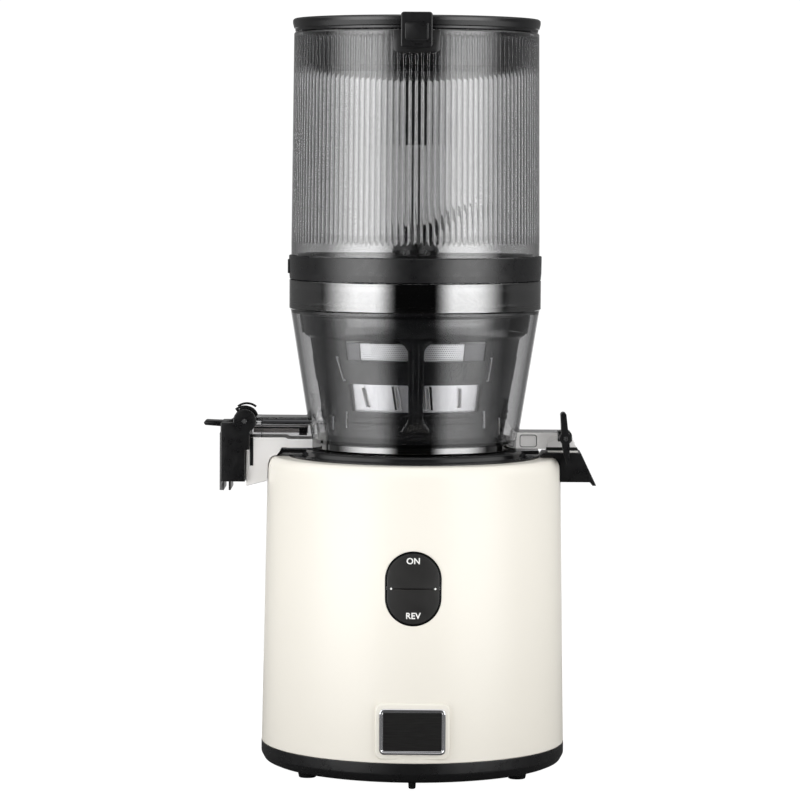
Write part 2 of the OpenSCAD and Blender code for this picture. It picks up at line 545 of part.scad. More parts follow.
module cutting_wing() color([0.12, 0.12, 0.13]) difference() {
  union() {
  translate([0, 0, 322.75]) cylinder(r = 4.4, h = 8.6);
  plate_xz(-1.7, 1.7) polygon([[-6.6, 322.75], [-6.2, 331], [8, 332.6], [14, 336.4], [20.5, 341.4], [33.2, 345.6], [33.6, 344.4], [26.5, 337.4], [19, 331.6], [13.4, 326.8], [11, 322.75]]);
  }
  cylinder(r = 2.45, h = 400, $fn = 48);
}

// ---------- hopper ----------
module hopper_shell() color([0.62, 0.63, 0.65, 0.45]) difference() {
  rev([[71.0, 305.2], [73.4, 305.2], [73.4, 312.4], [hopper_r0, 313.6], [hopper_r0, 322], [hopper_r1, hopper_z1 - 0.8], [hopper_r1 - 0.8, hopper_z1], [71.1, hopper_z1], [hopper_r0 - 2.8, 322], [hopper_r0 - 2.8, 316]]);
}

module hopper_ring() color([0.08, 0.08, 0.09]) union() {
  rev([[76.0, 299.1], [76.3, 302], [76.5, 313.4], [75.3, 313.4], [75.2, 313.2], [73.6, 312.2], [73.6, 305], [71.0, 305], [71.0, 315.4], [70.2, 315.4], [43, 301.4], [42, 300.6], [42, 297.6], [44, 297.0], [69.4, 303.0], [70.2, 301.6], [70.2, 284.4], [72.6, 284.4], [72.6, 299.1]]);
  // grip pad on the left side
  difference() {
    plate_yz(-77.3, -75) translate([0, 306.6]) rrect(16, 8.4, 1.5);
    cylinder(r = 75.6, h = 400);
  }
}

module ring_gasket() color([0.55, 0.55, 0.56]) ring(72.62, 73.0, 293.6, 296.4);

module latch_catch() color([0.13, 0.13, 0.14]) difference() {
  intersection() {
    plate_xz(-75.4, -70) translate([0, 440.2]) rrect(27.6, 13.4, 3);
    cylinder(r = 75.2, h = 460, $fn = 180);
  }
  cylinder(r1 = hop_r(0) + 0.05, r2 = hop_r(470) + 0.05, h = 470, $fn = 180);
}

module hinge_bracket() color([0.10, 0.10, 0.11]) difference() {
  union() {
    for (x = [-15, 9]) {
      rod_x(hinge_y, hinge_z, 3.4, x, x + 6);
      box([x, 72, 434], [x + 6, hinge_y + 1, 446.6]);
      plate_yz(x, x + 6) polygon([[74, 434], [hinge_y + 3.3, hinge_z - 0.8], [hinge_y - 3.3, hinge_z], [72, 446.6]]);
    }
    box([-15, 72, 434], [15, 76.4, 446.6]);
  }
  cylinder(r1 = hop_r(0) + 0.05, r2 = hop_r(470) + 0.05, h = 470, $fn = 180);
  // keeps out of the lid's sweep
  translate([0, 0, 447.2]) cylinder(r = lid_r + 0.5, h = 20);
  rod_x(hinge_y, hinge_z, 1.52, -20, 20);
}

module hinge_pin() color([0.75, 0.75, 0.77]) rod_x(hinge_y, hinge_z, 1.5, -15.4, 15.4);

// ---------- lid ----------
module lid_rim() color([0.10, 0.10, 0.11]) difference() {
  union() {
    rev([[68.6, 448.0], [73.2, 448.0], [73.2, 449.6], [lid_r, 450.2], [lid_r, 453.4], [lid_r - 0.5, 453.7], [lid_r, 454.0], [lid_r - 0.2, 454.9], [lid_r - 1, 455.6], [66, 455.6], [66, 452.4], [68.6, 452.4]]);
    // hinge knuckle
    rod_x(hinge_y, hinge_z, 3.4, -8.7, 8.7);
    plate_yz(-8.7, 8.7) polygon([[72.6, 449.8], [hinge_y - 2, hinge_z - 2.6], [hinge_y + 1.6, hinge_z + 3.0], [hinge_y - 2.2, 455.4], [72.6, 455.4]]);
  }
  rod_x(hinge_y, hinge_z, 1.55, -20, 20);
}

module lid_plug() color([0.20, 0.20, 0.21])
  rev([[0, 414], [2.9, 414], [2.9, 379.8], [6.1, 379.8], [6.3, 417.2], [36, 419.0], [60, 422.6], [66.2, 426.2], [69.0, 447.4], [68.5, 447.6], [68.5, 452.2],
    [66.4, 452.2], [66.4, 447], [64.2, 428.2], [59, 425.0], [36, 421.4], [0, 419.8]]);

module lid_cover() color([0.10, 0.10, 0.11]) union() {
  rev([[0, 450.2], [40, 450.6], [60, 451.6], [65.9, 452.6], [65.9, 455.2], [60, 453.8], [40, 452.8], [12, 452.4], [11.4, 451.9], [0, 451.9]]);
  ring(60.6, 62.4, 446, 452);
}

module lid_latch() color([0.09, 0.09, 0.10]) difference() {
  plate_xz(-77.6, -70) translate([0, 446.8]) rrect(18.5, 20.6, 1.6);
  // follows the rim of the lid and clears the hopper
  rev([[0, 400], [75.5, 400], [75.5, 449.9], [lid_r + 0.03, 449.9], [lid_r + 0.03, 455.7], [72, 455.75], [72, 470], [0, 470]]);
}

// ---------- juice cap ----------
// band between two radii and two angles about the cap's pivot
module arc_band(ri, ro, a0, a1, n = 14) polygon(concat(
  [for (k = [0:n]) let (a = a0 + (a1 - a0) * k / n) [cap_x, cap_z] + ro * [cos(a), sin(a)]],
  [for (k = [n:-1:0]) let (a = a0 + (a1 - a0) * k / n) [cap_x, cap_z] + ri * [cos(a), sin(a)]]));
module juice_cap() color([0.08, 0.08, 0.09]) difference() {
  union() {
    // cheeks on the stub pins
    for (s = [-1, 1]) difference() {
      union() {
        rod_y(cap_x, cap_z, 7.0, s > 0 ? out_y + 0.3 : -out_y - 3.3, s > 0 ? out_y + 3.3 : -out_y - 0.3);
        box([-112, s > 0 ? out_y + 0.3 : -out_y - 3.3, 196], [-99.4, s > 0 ? out_y + 3.3 : -out_y - 0.3, 212.4]);
      }
    }
    difference() {
      box([-116.9, -out_y - 3.3, 176.6], [-101.9, out_y + 3.3, 212.4]);
      box([-113.4, -out_y, 170], [-105.6, out_y, 206]);
    }
    // bridge over the outer side of the hub
    plate_xz(-out_y - 0.4, out_y + 0.4) arc_band(5.1, 7.0, 126, 264);
    // outer wall and rib run below the body
    box([-117.4, -out_y - 3.3, 171.4], [-114.8, out_y + 3.3, 206]);
    box([-111.9, -out_y - 3.3, 171.4], [-110.6, out_y + 3.3, 178]);
    // thumb paddle
    plate_xz(-7, 7) polygon([[-126.6, 212.8], [-127.8, 212.0], [-127.6, 210.8], [-126.4, 210.2], [-116, 209.4], [-110, 208.6], [-109, 211.6], [-109.2, 214.6], [-110.6, 213.4], [-114, 212.4]]);
    // finger stops over the cheeks
    for (y = [-out_y - 3.3, out_y + 0.3]) plate_xz(y, y + 3) { arc_band(8.2, 9.4, 50, 128); arc_band(6.8, 9.4, 118, 128); }
  }
  for (s = [-1, 1]) rod_y(cap_x, cap_z, 1.56, s > 0 ? out_y - 1 : -out_y - 5, s > 0 ? out_y + 5 : -out_y + 1);
  // room for the spout's ears and its corner
  rod_y(cap_x, cap_z, 5.1, -out_y - 0.3, out_y + 0.3);
  box([-101.9, -out_y - 0.3, 160], [-80, out_y + 0.3, 230]);
  // the cheeks stop short of the base
  box([-99.4, -30, 160], [-80, 30, 206]);
  // pocket for the seal
  box([-103.0, -10.4, 186.2], [-100, 10.4, 203.8]);
}

module cap_seal() color([0.05, 0.05, 0.05]) difference() {
  box([-103.0, -10.3, 186.3], [-101.7, 10.3, 203.7]);
  box([-102.4, -8.4, 188.2], [-101, 8.4, 201.8]);
}

// ---------- pulp lever ----------
module pulp_lever() color([0.10, 0.10, 0.11]) difference() {
  plate_xz(-28.6, -16.7) union() {
    polygon([[87.8, 218.6], [88.7, 200], [91.5, 189.4], [92.9, 189.0], [93.3, 200], [91.2, 218.8]]);
    translate([89.5, 218.7]) circle(1.72, $fn = 32);
    translate([lev_x, lev_z]) circle(3.6, $fn = 48);
  }
  rod_y(lev_x, lev_z, 1.46, -40, -10);
}

base_housing();
top_deck();
bottom_cover();
rubber_feet();
base_screws();
switch_bezel();
rocker_pin();
switch_module();
control_board();
run_capacitor();
badge_frame();
badge_plate();
cord_gland();
motor_stator();
stator_windings();
motor_upper_bell();
motor_lower_bell();
motor_bearings();
motor_bolts();
gearbox_base();
gearbox_cover();
gearbox_screws();
idler_axle();
output_bearings();
mount_grommets();
shaft_seal();
pulp_chute();
rocker_switch();
rotor_core();
rotor_shaft();
cooling_fan();
reduction_gear();
output_gear();
drive_shaft();
juice_bowl();
bowl_seal();
strainer_cage();
strainer_screen();
outlet_gasket();
lever_bracket();
lever_pin();
cap_pin();
auger();
auger_bush();
feed_spindle();
cutting_wing();
hopper_shell();
hopper_ring();
ring_gasket();
latch_catch();
hinge_bracket();
hinge_pin();
lid_rim();
lid_cover();
lid_plug();
lid_latch();
juice_cap();
cap_seal();
pulp_lever();
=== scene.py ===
import bpy
import bmesh
import json
import math
from mathutils import Matrix, Vector


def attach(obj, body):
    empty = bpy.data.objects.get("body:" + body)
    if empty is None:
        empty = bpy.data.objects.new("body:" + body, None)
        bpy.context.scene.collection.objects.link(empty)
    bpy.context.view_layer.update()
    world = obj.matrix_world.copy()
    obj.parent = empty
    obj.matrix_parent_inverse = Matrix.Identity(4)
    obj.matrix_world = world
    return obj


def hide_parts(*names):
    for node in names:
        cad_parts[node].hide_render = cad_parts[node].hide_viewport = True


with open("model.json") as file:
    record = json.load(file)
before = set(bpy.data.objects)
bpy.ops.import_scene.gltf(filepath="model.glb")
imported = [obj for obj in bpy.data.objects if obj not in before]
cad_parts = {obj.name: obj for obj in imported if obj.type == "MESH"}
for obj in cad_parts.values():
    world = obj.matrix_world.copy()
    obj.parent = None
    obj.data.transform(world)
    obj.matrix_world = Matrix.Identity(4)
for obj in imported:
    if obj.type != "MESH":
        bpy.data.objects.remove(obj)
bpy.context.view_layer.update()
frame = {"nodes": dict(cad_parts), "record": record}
K = 0.001
SC = bpy.context.scene
TAU = 2 * math.pi


def rad(a):
    return math.radians(a)


# ------------------------------------------------------------------ camera
cam_data = bpy.data.cameras.new("camera")
cam_data.sensor_width = 36.0
cam_data.lens = 159.7
cam_data.clip_start = 0.05
cam_data.clip_end = 60.0
cam = bpy.data.objects.new("camera", cam_data)
SC.collection.objects.link(cam)
cam.matrix_world = (
    Matrix.Translation((0.0, -2.150, 0.3703))
    @ Matrix.Rotation(rad(0.234), 4, "Z")
    @ Matrix.Rotation(rad(90 - 3.85), 4, "X")
    @ Matrix.Rotation(rad(0.35), 4, "Z")
)
SC.camera = cam


# ------------------------------------------------------------------ mesh helpers (all lengths in mm)
def fil(pts, seg=6):
    """Closed outline with a radius at each corner that has a third number."""
    out = []
    n = len(pts)
    for i in range(n):
        p = pts[i]
        r = p[2] if len(p) > 2 else 0.0
        P = Vector((p[0], p[1]))
        A = Vector(pts[i - 1][:2])
        B = Vector(pts[(i + 1) % n][:2])
        if r <= 0:
            out.append((P.x, P.y))
            continue
        u, v = A - P, B - P
        la, lb = u.length, v.length
        u /= la
        v /= lb
        ang = math.acos(max(-0.99999, min(0.99999, u.dot(v))))
        if ang > 3.12:
            out.append((P.x, P.y))
            continue
        t = min(r / math.tan(ang / 2), 0.48 * la, 0.48 * lb)
        r = t * math.tan(ang / 2)
        C = P + (u + v).normalized() * (r / math.sin(ang / 2))
        s0, s1 = P + u * t - C, P + v * t - C
        a0, a1 = math.atan2(s0.y, s0.x), math.atan2(s1.y, s1.x)
        da = (a1 - a0 + math.pi) % TAU - math.pi
        k = max(2, int(round(seg * abs(da) / (math.pi / 2))))
        for j in range(k + 1):
            a = a0 + da * j / k
            out.append((C.x + r * math.cos(a), C.y + r * math.sin(a)))
    return out


def clean(pts, eps=1e-5):
    out = []
    for p in pts:
        if not out or abs(p[0] - out[-1][0]) + abs(p[1] - out[-1][1]) > eps:
            out.append(p)
    if abs(out[0][0] - out[-1][0]) + abs(out[0][1] - out[-1][1]) <= eps:
        out.pop()
    return out


def rrect(w, h, r, n=8, cx=0.0, cy=0.0):
    pts = []
    for sx, sy, a0 in ((1, 1, 0), (-1, 1, 90), (-1, -1, 180), (1, -1, 270)):
        for k in range(n + 1):
            a = rad(a0 + 90 * k / n)
            pts.append((cx + sx * (w / 2 - r) + r * math.cos(a), cy + sy * (h / 2 - r) + r * math.sin(a)))
    return clean(pts)


def circle(r, n=48, cx=0.0, cy=0.0):
    return [(cx + r * math.cos(TAU * k / n), cy + r * math.sin(TAU * k / n)) for k in range(n)]


def mesh_obj(name, verts, faces, mat=None, fix=True):
    me = bpy.data.meshes.new(name)
    me.from_pydata([(x * K, y * K, z * K) for x, y, z in verts], [], faces)
    if fix:
        bm = bmesh.new()
        bm.from_mesh(me)
        bmesh.ops.recalc_face_normals(bm, faces=bm.faces)
        bm.to_mesh(me)
        bm.free()
    me.update()
    o = bpy.data.objects.new(name, me)
    SC.collection.objects.link(o)
    if mat is not None:
        me.materials.append(mat)
    return o


def lathe(name, prof, seg=192, mat=None):
    """Solid of revolution from a closed outline of (radius, height)."""
    prof = clean(prof)
    verts, idx = [], []
    for r, z in prof:
        if abs(r) < 1e-6:
            idx.append([len(verts)] * seg)
            verts.append((0.0, 0.0, z))
        else:
            row = []
            for i in range(seg):
                a = TAU * i / seg
                row.append(len(verts))
                verts.append((r * math.cos(a), r * math.sin(a), z))
            idx.append(row)
    faces = []
    for j in range(len(prof)):
        A, B = idx[j], idx[(j + 1) % len(prof)]
        for i in range(seg):
            k = (i + 1) % seg
            f = []
            for v in (A[i], A[k], B[k], B[i]):
                if v not in f:
                    f.append(v)
            if len(f) >= 3:
                faces.append(f)
    return mesh_obj(name, verts, faces, mat)


AX = {
    "x": lambda u, v, w: (w, u, v),
    "y": lambda u, v, w: (u, w, v),
    "z": lambda u, v, w: (u, v, w),
}


def prism(name, pts, a, b, axis="y", mat=None, bev=0.0, seg=3, ang=35):
    """Outline thickened from a to b along an axis, with rounded edges."""
    pts = clean(pts)
    f = AX[axis]
    n = len(pts)
    verts = [f(u, v, a) for u, v in pts] + [f(u, v, b) for u, v in pts]
    faces = [list(range(n)), list(range(n, 2 * n))] + [[i, (i + 1) % n, n + (i + 1) % n, n + i] for i in range(n)]
    o = mesh_obj(name, verts, faces, mat)
    if bev:
        bevel(o, bev, seg, ang)
    return o


def block(name, lo, hi, mat=None, bev=0.0, seg=3):
    return prism(name, [(lo[0], lo[1]), (hi[0], lo[1]), (hi[0], hi[1]), (lo[0], hi[1])], lo[2], hi[2], "z", mat, bev, seg)


def bake(o):
    bpy.context.view_layer.update()
    dg = bpy.context.evaluated_depsgraph_get()
    me = bpy.data.meshes.new_from_object(o.evaluated_get(dg), preserve_all_data_layers=True, depsgraph=dg)
    o.modifiers.clear()
    old = o.data
    o.data = me
    me.name = o.name
    if old.users == 0:
        bpy.data.meshes.remove(old)
    return o


def bevel(o, width, seg=3, ang=35):
    m = o.modifiers.new("edge", "BEVEL")
    m.width = width * K
    m.segments = seg
    m.limit_method = "ANGLE"
    m.angle_limit = rad(ang)
    m.use_clamp_overlap = True
    m.miter_outer = "MITER_ARC"
    return bake(o)


def boole(o, others, op="DIFFERENCE"):
    for c in others:
        kept = o.data.copy()
        for solver in ("EXACT", "FAST"):
            m = o.modifiers.new("cut", "BOOLEAN")
            m.operation = op
            m.solver = solver
            m.object = c
            bake(o)
            if len(o.data.polygons) > 0.3 * len(kept.polygons):
                break
            print("BOOLE", o.name, c.name, solver, len(kept.polygons), "->", len(o.data.polygons))
            o.data = kept.copy()
        bpy.data.meshes.remove(kept)
        bpy.data.objects.remove(c, do_unlink=True)
    return o


def join(name, parts, mat=None):
    """Several separate solids as one mesh."""
    bm = bmesh.new()
    for p in parts:
        me = p.data.copy()
        me.transform(p.matrix_world)
        bm.from_mesh(me)
    me = bpy.data.meshes.new(name)
    bm.to_mesh(me)
    bm.free()
    o = bpy.data.objects.new(name, me)
    SC.collection.objects.link(o)
    if mat is not None:
        me.materials.append(mat)
    for p in parts:
        bpy.data.objects.remove(p, do_unlink=True)
    return o


def spin(o, deg, origin=(0, 0, 0)):
    M = Matrix.Translation(Vector(origin) * K) @ Matrix.Rotation(rad(deg), 4, "Z") @ Matrix.Translation(Vector(origin) * -K)
    o.data.transform(M)
    return o


def move(o, d):
    o.data.transform(Matrix.Translation(Vector(d) * K))
    return o


def shade(o, ang=35):
    me = o.data
    me.polygons.foreach_set("use_smooth", [True] * len(me.polygons))
    me.set_sharp_from_angle(angle=rad(ang))
    me.update()
    return o


def flat_shade(o, ang=35):
    """Smooth round edges beside flat faces: normals weighted by face area."""
    shade(o, ang)
    m = o.modifiers.new("weigh", "WEIGHTED_NORMAL")
    m.keep_sharp = True
    m.weight = 100
    return bake(o)


def round_shade(o, limit=32):
    """Normals for a turned shape that was cut: each face that follows the turning gets the normal of the round surface at its corners."""
    me = o.data
    n = len(me.polygons)
    me.polygons.foreach_set("use_smooth", [True] * n)
    cosl = math.cos(rad(limit))
    loops = [None] * len(me.loops)
    at_vert = {}
    co = [v.co for v in me.vertices]
    for p in me.polygons:
        c, nf = p.center, p.normal
        h = math.hypot(c.x, c.y)
        nr = (nf.x * c.x + nf.y * c.y) / h if h > 1e-6 else 0.0
        nt = (-nf.x * c.y + nf.y * c.x) / h if h > 1e-6 else 1.0
        turned = abs(nt) < 0.05 and abs(nr) > 0.02
        area = p.area
        for li in p.loop_indices:
            vi = me.loops[li].vertex_index
            q = co[vi]
            hq = math.hypot(q.x, q.y)
            if turned and hq > 1e-6:
                nn = Vector((nr * q.x / hq, nr * q.y / hq, nf.z)).normalized()
            else:
                nn = nf.copy()
            loops[li] = nn
            at_vert.setdefault(vi, []).append((li, nn, area))
    out = [None] * len(loops)
    for vi, items in at_vert.items():
        for li, nn, _ in items:
            s = Vector((0, 0, 0))
            for _, mm, a in items:
                if nn.dot(mm) > cosl:
                    s += mm * (a + 1e-9)
            out[li] = s.normalized() if s.length > 1e-12 else nn
    me.normals_split_custom_set([tuple(v) for v in out])
    me.update()
    return o


def arc_pts(cx, cy, r, a0, a1, n):
    return [(cx + r * math.cos(rad(a0 + (a1 - a0) * k / n)), cy + r * math.sin(rad(a0 + (a1 - a0) * k / n))) for k in range(n + 1)]


def sector(name, r0, r1, z0, z1, a0, a1, step=2.0, mat=None):
    """Part of a ring between two radii, heights and angles. Angles are from the front, and grow towards +X."""
    n = max(2, int(abs(a1 - a0) / step))
    verts, faces = [], []
    for k in range(n + 1):
        a = rad(a0 + (a1 - a0) * k / n - 90)
        c, s = math.cos(a), math.sin(a)
        for r, z in ((r0, z0), (r1, z0), (r1, z1), (r0, z1)):
            verts.append((r * c, r * s, z))
    for k in range(n):
        b = 4 * k
        for i in range(4):
            j = (i + 1) % 4
            faces.append([b + i, b + j, b + 4 + j, b + 4 + i])
    faces.append([0, 1, 2, 3])
    faces.append([4 * n + i for i in range(4)])
    return mesh_obj(name, verts, faces, mat)


def port(name, ang, u0, u1, z0, z1, r0, r1, corner=0.6, n=5):
    """Straight cutter with round corners that points outwards at an angle from the front."""
    w, h = u1 - u0, z1 - z0
    o = prism(name, rrect(w, h, min(corner, w / 2 - 1e-3, h / 2 - 1e-3), n, (u0 + u1) / 2, (z0 + z1) / 2), -r1, -r0, "y")
    return spin(o, ang)


def on_round(o, R, front_only=True, off=0.0):
    """Lays a flat piece drawn at y = 0 on a cylinder of radius R about the Z axis: y = 0 goes to the surface."""
    for v in o.data.vertices:
        x = v.co.x / K
        v.co.y = v.co.y - (math.sqrt(max(R * R - x * x, 0.0)) + off) * K
    o.data.update()
    return o


def slices(o, step, axis="x", lo=-100, hi=100):
    bm = bmesh.new()
    bm.from_mesh(o.data)
    no = {"x": (1, 0, 0), "y": (0, 1, 0), "z": (0, 0, 1)}[axis]
    t = lo
    while t <= hi:
        p = {"x": (t * K, 0, 0), "y": (0, t * K, 0), "z": (0, 0, t * K)}[axis]
        bmesh.ops.bisect_plane(bm, geom=bm.verts[:] + bm.edges[:] + bm.faces[:], dist=1e-7, plane_co=p, plane_no=no)
        t += step
    bm.to_mesh(o.data)
    bm.free()
    return o


def put(o, body, slot, *nodes):
    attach(o, body)
    if nodes:
        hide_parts(*nodes)
    return o


# ------------------------------------------------------------------ materials
def new_mat(name):
    m = bpy.data.materials.new(name)
    m.use_nodes = True
    nt = m.node_tree
    nt.nodes.clear()
    out = nt.nodes.new("ShaderNodeOutputMaterial")
    p = nt.nodes.new("ShaderNodeBsdfPrincipled")
    nt.links.new(p.outputs[0], out.inputs[0])
    return m, nt, p, out


def noise(nt, scale, detail=3.0, rough=0.5, stretch=None):
    tc = nt.nodes.new("ShaderNodeTexCoord")
    n = nt.nodes.new("ShaderNodeTexNoise")
    n.inputs["Scale"].default_value = scale
    n.inputs["Detail"].default_value = detail
    n.inputs["Roughness"].default_value = rough
    src = tc.outputs["Object"]
    if stretch:
        mp = nt.nodes.new("ShaderNodeMapping")
        mp.inputs["Scale"].default_value = stretch
        nt.links.new(src, mp.inputs["Vector"])
        src = mp.outputs[0]
    nt.links.new(src, n.inputs["Vector"])
    return n


def ranged(nt, src, lo, hi, a=0.3, b=0.7):
    m = nt.nodes.new("ShaderNodeMapRange")
    m.inputs["From Min"].default_value = a
    m.inputs["From Max"].default_value = b
    m.inputs["To Min"].default_value = lo
    m.inputs["To Max"].default_value = hi
    nt.links.new(src, m.inputs["Value"])
    return m.outputs["Result"]


def bump(nt, src, p, dist, strength=1.0, after=None):
    b = nt.nodes.new("ShaderNodeBump")
    b.inputs["Strength"].default_value = strength
    b.inputs["Distance"].default_value = dist
    nt.links.new(src, b.inputs["Height"])
    if after is not None:
        nt.links.new(after, b.inputs["Normal"])
    nt.links.new(b.outputs[0], p.inputs["Normal"])
    return b.outputs[0]


def mixed(nt, fac, c0, c1):
    m = nt.nodes.new("ShaderNodeMix")
    m.data_type = "RGBA"
    m.inputs["A"].default_value = (*c0, 1)
    m.inputs["B"].default_value = (*c1, 1)
    nt.links.new(fac, m.inputs["Factor"])
    return m.outputs["Result"]


def plastic(name, col, col2=None, rough=0.35, spread=0.06, grain=2600, grain_h=0.00002, grain_s=0.35, spec=0.5, coat=0.0, coat_r=0.1, sub=0.0):
    """Moulded plastic: fine spark-eroded grain, slow changes of gloss and a faint change of colour."""
    m, nt, p, _ = new_mat(name)
    col2 = col2 or tuple(c * 0.93 for c in col)
    slow = noise(nt, 9.0, 3.0)
    nt.links.new(mixed(nt, ranged(nt, slow.outputs[0], 0, 1), col, col2), p.inputs["Base Color"])
    mid = noise(nt, 160.0, 4.0, 0.6)
    nt.links.new(ranged(nt, mid.outputs[0], rough - spread, rough + spread), p.inputs["Roughness"])
    fine = noise(nt, grain, 2.0, 0.6)
    bump(nt, fine.outputs[0], p, grain_h, grain_s)
    p.inputs["Specular IOR Level"].default_value = spec
    p.inputs["Coat Weight"].default_value = coat
    p.inputs["Coat Roughness"].default_value = coat_r
    if sub:
        p.inputs["Subsurface Weight"].default_value = sub
        p.inputs["Subsurface Radius"].default_value = (0.004, 0.0035, 0.0025)
        p.inputs["Subsurface Scale"].default_value = 0.5
    return m


def metal(name, col, col2=None, rough=0.25, spread=0.07, stretch=(1, 1, 60), scale=60, h=0.00001, strength=0.3):
    m, nt, p, _ = new_mat(name)
    col2 = col2 or tuple(c * 0.85 for c in col)
    line = noise(nt, scale, 5.0, 0.6, stretch)
    nt.links.new(mixed(nt, ranged(nt, line.outputs[0], 0, 1), col, col2), p.inputs["Base Color"])
    nt.links.new(ranged(nt, line.outputs[0], rough - spread, rough + spread), p.inputs["Roughness"])
    bump(nt, line.outputs[0], p, h, strength)
    p.inputs["Metallic"].default_value = 1.0
    return m


def clear(name, rough=0.02, spread=0.015, tint=(1, 1, 1), absorb=None, density=0.0, ior=1.5, shadow=0.8, wave=0.0):
    """See-through moulded plastic with its colour in the depth of the wall. Lamps shine through it."""
    m, nt, p, out = new_mat(name)
    p.inputs["Transmission Weight"].default_value = 1.0
    p.inputs["IOR"].default_value = ior
    slow = noise(nt, 24.0, 3.0)
    c2 = tuple(c * 0.975 for c in tint)
    nt.links.new(mixed(nt, ranged(nt, slow.outputs[0], 0, 1), tint, c2), p.inputs["Base Color"])
    nt.links.new(ranged(nt, slow.outputs[0], max(rough - spread, 0.0), rough + spread), p.inputs["Roughness"])
    if wave:
        w = noise(nt, 38.0, 2.0)
        bump(nt, w.outputs[0], p, wave, 1.0)
    lp = nt.nodes.new("ShaderNodeLightPath")
    tr = nt.nodes.new("ShaderNodeBsdfTransparent")
    tr.inputs[0].default_value = (shadow, shadow, shadow, 1)
    mx = nt.nodes.new("ShaderNodeMixShader")
    nt.links.new(lp.outputs["Is Shadow Ray"], mx.inputs[0])
    nt.links.new(p.outputs[0], mx.inputs[1])
    nt.links.new(tr.outputs[0], mx.inputs[2])
    nt.links.new(mx.outputs[0], out.inputs[0])
    if density:
        va = nt.nodes.new("ShaderNodeVolumeAbsorption")
        va.inputs["Color"].default_value = (*absorb, 1)
        va.inputs["Density"].default_value = density
        nt.links.new(va.outputs[0], out.inputs["Volume"])
    return m


M = {}
M["cream"] = plastic("cream_abs", (0.778, 0.750, 0.682), (0.764, 0.735, 0.664), rough=0.31, spread=0.03, grain=1500, grain_h=0.000006, grain_s=0.08, spec=0.28, coat=0.10, coat_r=0.22)
M["black"] = plastic("black_abs", (0.0045, 0.0045, 0.0050), (0.0038, 0.0038, 0.0042), rough=0.30, spread=0.05, grain=2200, grain_h=0.00001, grain_s=0.3)
M["black_gloss"] = plastic("black_gloss_abs", (0.004, 0.004, 0.0045), (0.0034, 0.0034, 0.0038), rough=0.17, spread=0.04, grain=900, grain_h=0.000006, grain_s=0.15, spec=0.55)
M["switch"] = plastic("switch_black", (0.012, 0.0115, 0.011), (0.010, 0.0095, 0.009), rough=0.42, spread=0.05, grain=3000, grain_h=0.00002, grain_s=0.35)
M["lid"] = plastic("lid_black_gloss", (0.0042, 0.0042, 0.0046), (0.0036, 0.0036, 0.0040), rough=0.24, spread=0.05, grain=1800, grain_h=0.00001, grain_s=0.25, spec=0.5)
M["plug"] = plastic("plug_grey", (0.007, 0.007, 0.0077), (0.006, 0.006, 0.0066), rough=0.38, spread=0.05, grain=1200, grain_h=0.000008, grain_s=0.2, spec=0.12)
M["cage"] = plastic("cage_dark", (0.0048, 0.0050, 0.0056), (0.0040, 0.0042, 0.0048), rough=0.19, spread=0.04, grain=1600, grain_h=0.00001, grain_s=0.25, spec=0.7)
M["smoke_plate"] = plastic("smoke_plate", (0.80, 0.745, 0.73), (0.76, 0.708, 0.694), rough=0.35, spread=0.04, grain=900, grain_h=0.000006, grain_s=0.1)
M["light_edge"] = plastic("light_edge", (0.70, 0.69, 0.66), (0.66, 0.65, 0.62), rough=0.30, spread=0.04, grain=900, grain_h=0.000006, grain_s=0.1)
M["neck"] = plastic("cage_neck_gloss", (0.0060, 0.0062, 0.0068), (0.0050, 0.0052, 0.0058), rough=0.16, spread=0.03, grain=1600, grain_h=0.00001, grain_s=0.2, spec=1.0)
M["auger"] = plastic("auger_dark", (0.0042, 0.0042, 0.0046), (0.0036, 0.0036, 0.0040), rough=0.28, spread=0.06, grain=1400, grain_h=0.00002, grain_s=0.3)
M["rubber"] = plastic("rubber_black", (0.0040, 0.0040, 0.0040), (0.0055, 0.0055, 0.0055), rough=0.72, spread=0.08, grain=1800, grain_h=0.00003, grain_s=0.5, spec=0.3)
M["silicone"] = plastic("silicone_grey", (0.42, 0.42, 0.43), (0.36, 0.36, 0.37), rough=0.55, spread=0.06, grain=900, grain_h=0.00002, grain_s=0.3, sub=0.2)
M["white"] = plastic("white_abs", (0.74, 0.74, 0.72), rough=0.35, spread=0.05)
M["mark"] = plastic("mark_white", (0.80, 0.80, 0.78), rough=0.5, spread=0.05, grain=3000)
M["nylon"] = plastic("gear_nylon_natural", (0.74, 0.70, 0.58), rough=0.42, spread=0.06, sub=0.15)
M["board"] = plastic("board_solder_mask", (0.03, 0.16, 0.06), (0.02, 0.11, 0.04), rough=0.25, spread=0.05, grain=400, grain_h=0.00002, grain_s=0.3, spec=0.6)
M["steel"] = metal("steel_turned", (0.62, 0.62, 0.63), rough=0.24, stretch=(1, 1, 40), scale=50)
M["lamination"] = metal("steel_laminated", (0.30, 0.31, 0.33), (0.22, 0.22, 0.24), rough=0.42, stretch=(0.05, 0.05, 40), scale=60, h=0.00005, strength=0.6)
M["cast"] = metal("aluminium_cast", (0.62, 0.63, 0.64), (0.52, 0.53, 0.55), rough=0.46, spread=0.08, stretch=(1, 1, 1), scale=420, h=0.00004, strength=0.5)
M["copper"] = metal("copper_wire", (0.68, 0.33, 0.16), (0.50, 0.22, 0.10), rough=0.30, stretch=(0.2, 0.2, 3.0), scale=900, h=0.0001, strength=0.6)
M["screen"] = metal("screen_perforated", (0.74, 0.74, 0.75), (0.66, 0.66, 0.68), rough=0.36, spread=0.06, stretch=(1, 1, 0.15), scale=500, h=0.000006, strength=0.25)
M["chrome"] = metal("chrome_bright", (0.78, 0.78, 0.80), (0.74, 0.74, 0.76), rough=0.07, spread=0.03, stretch=(1, 1, 1), scale=90, h=0.000002, strength=0.2)
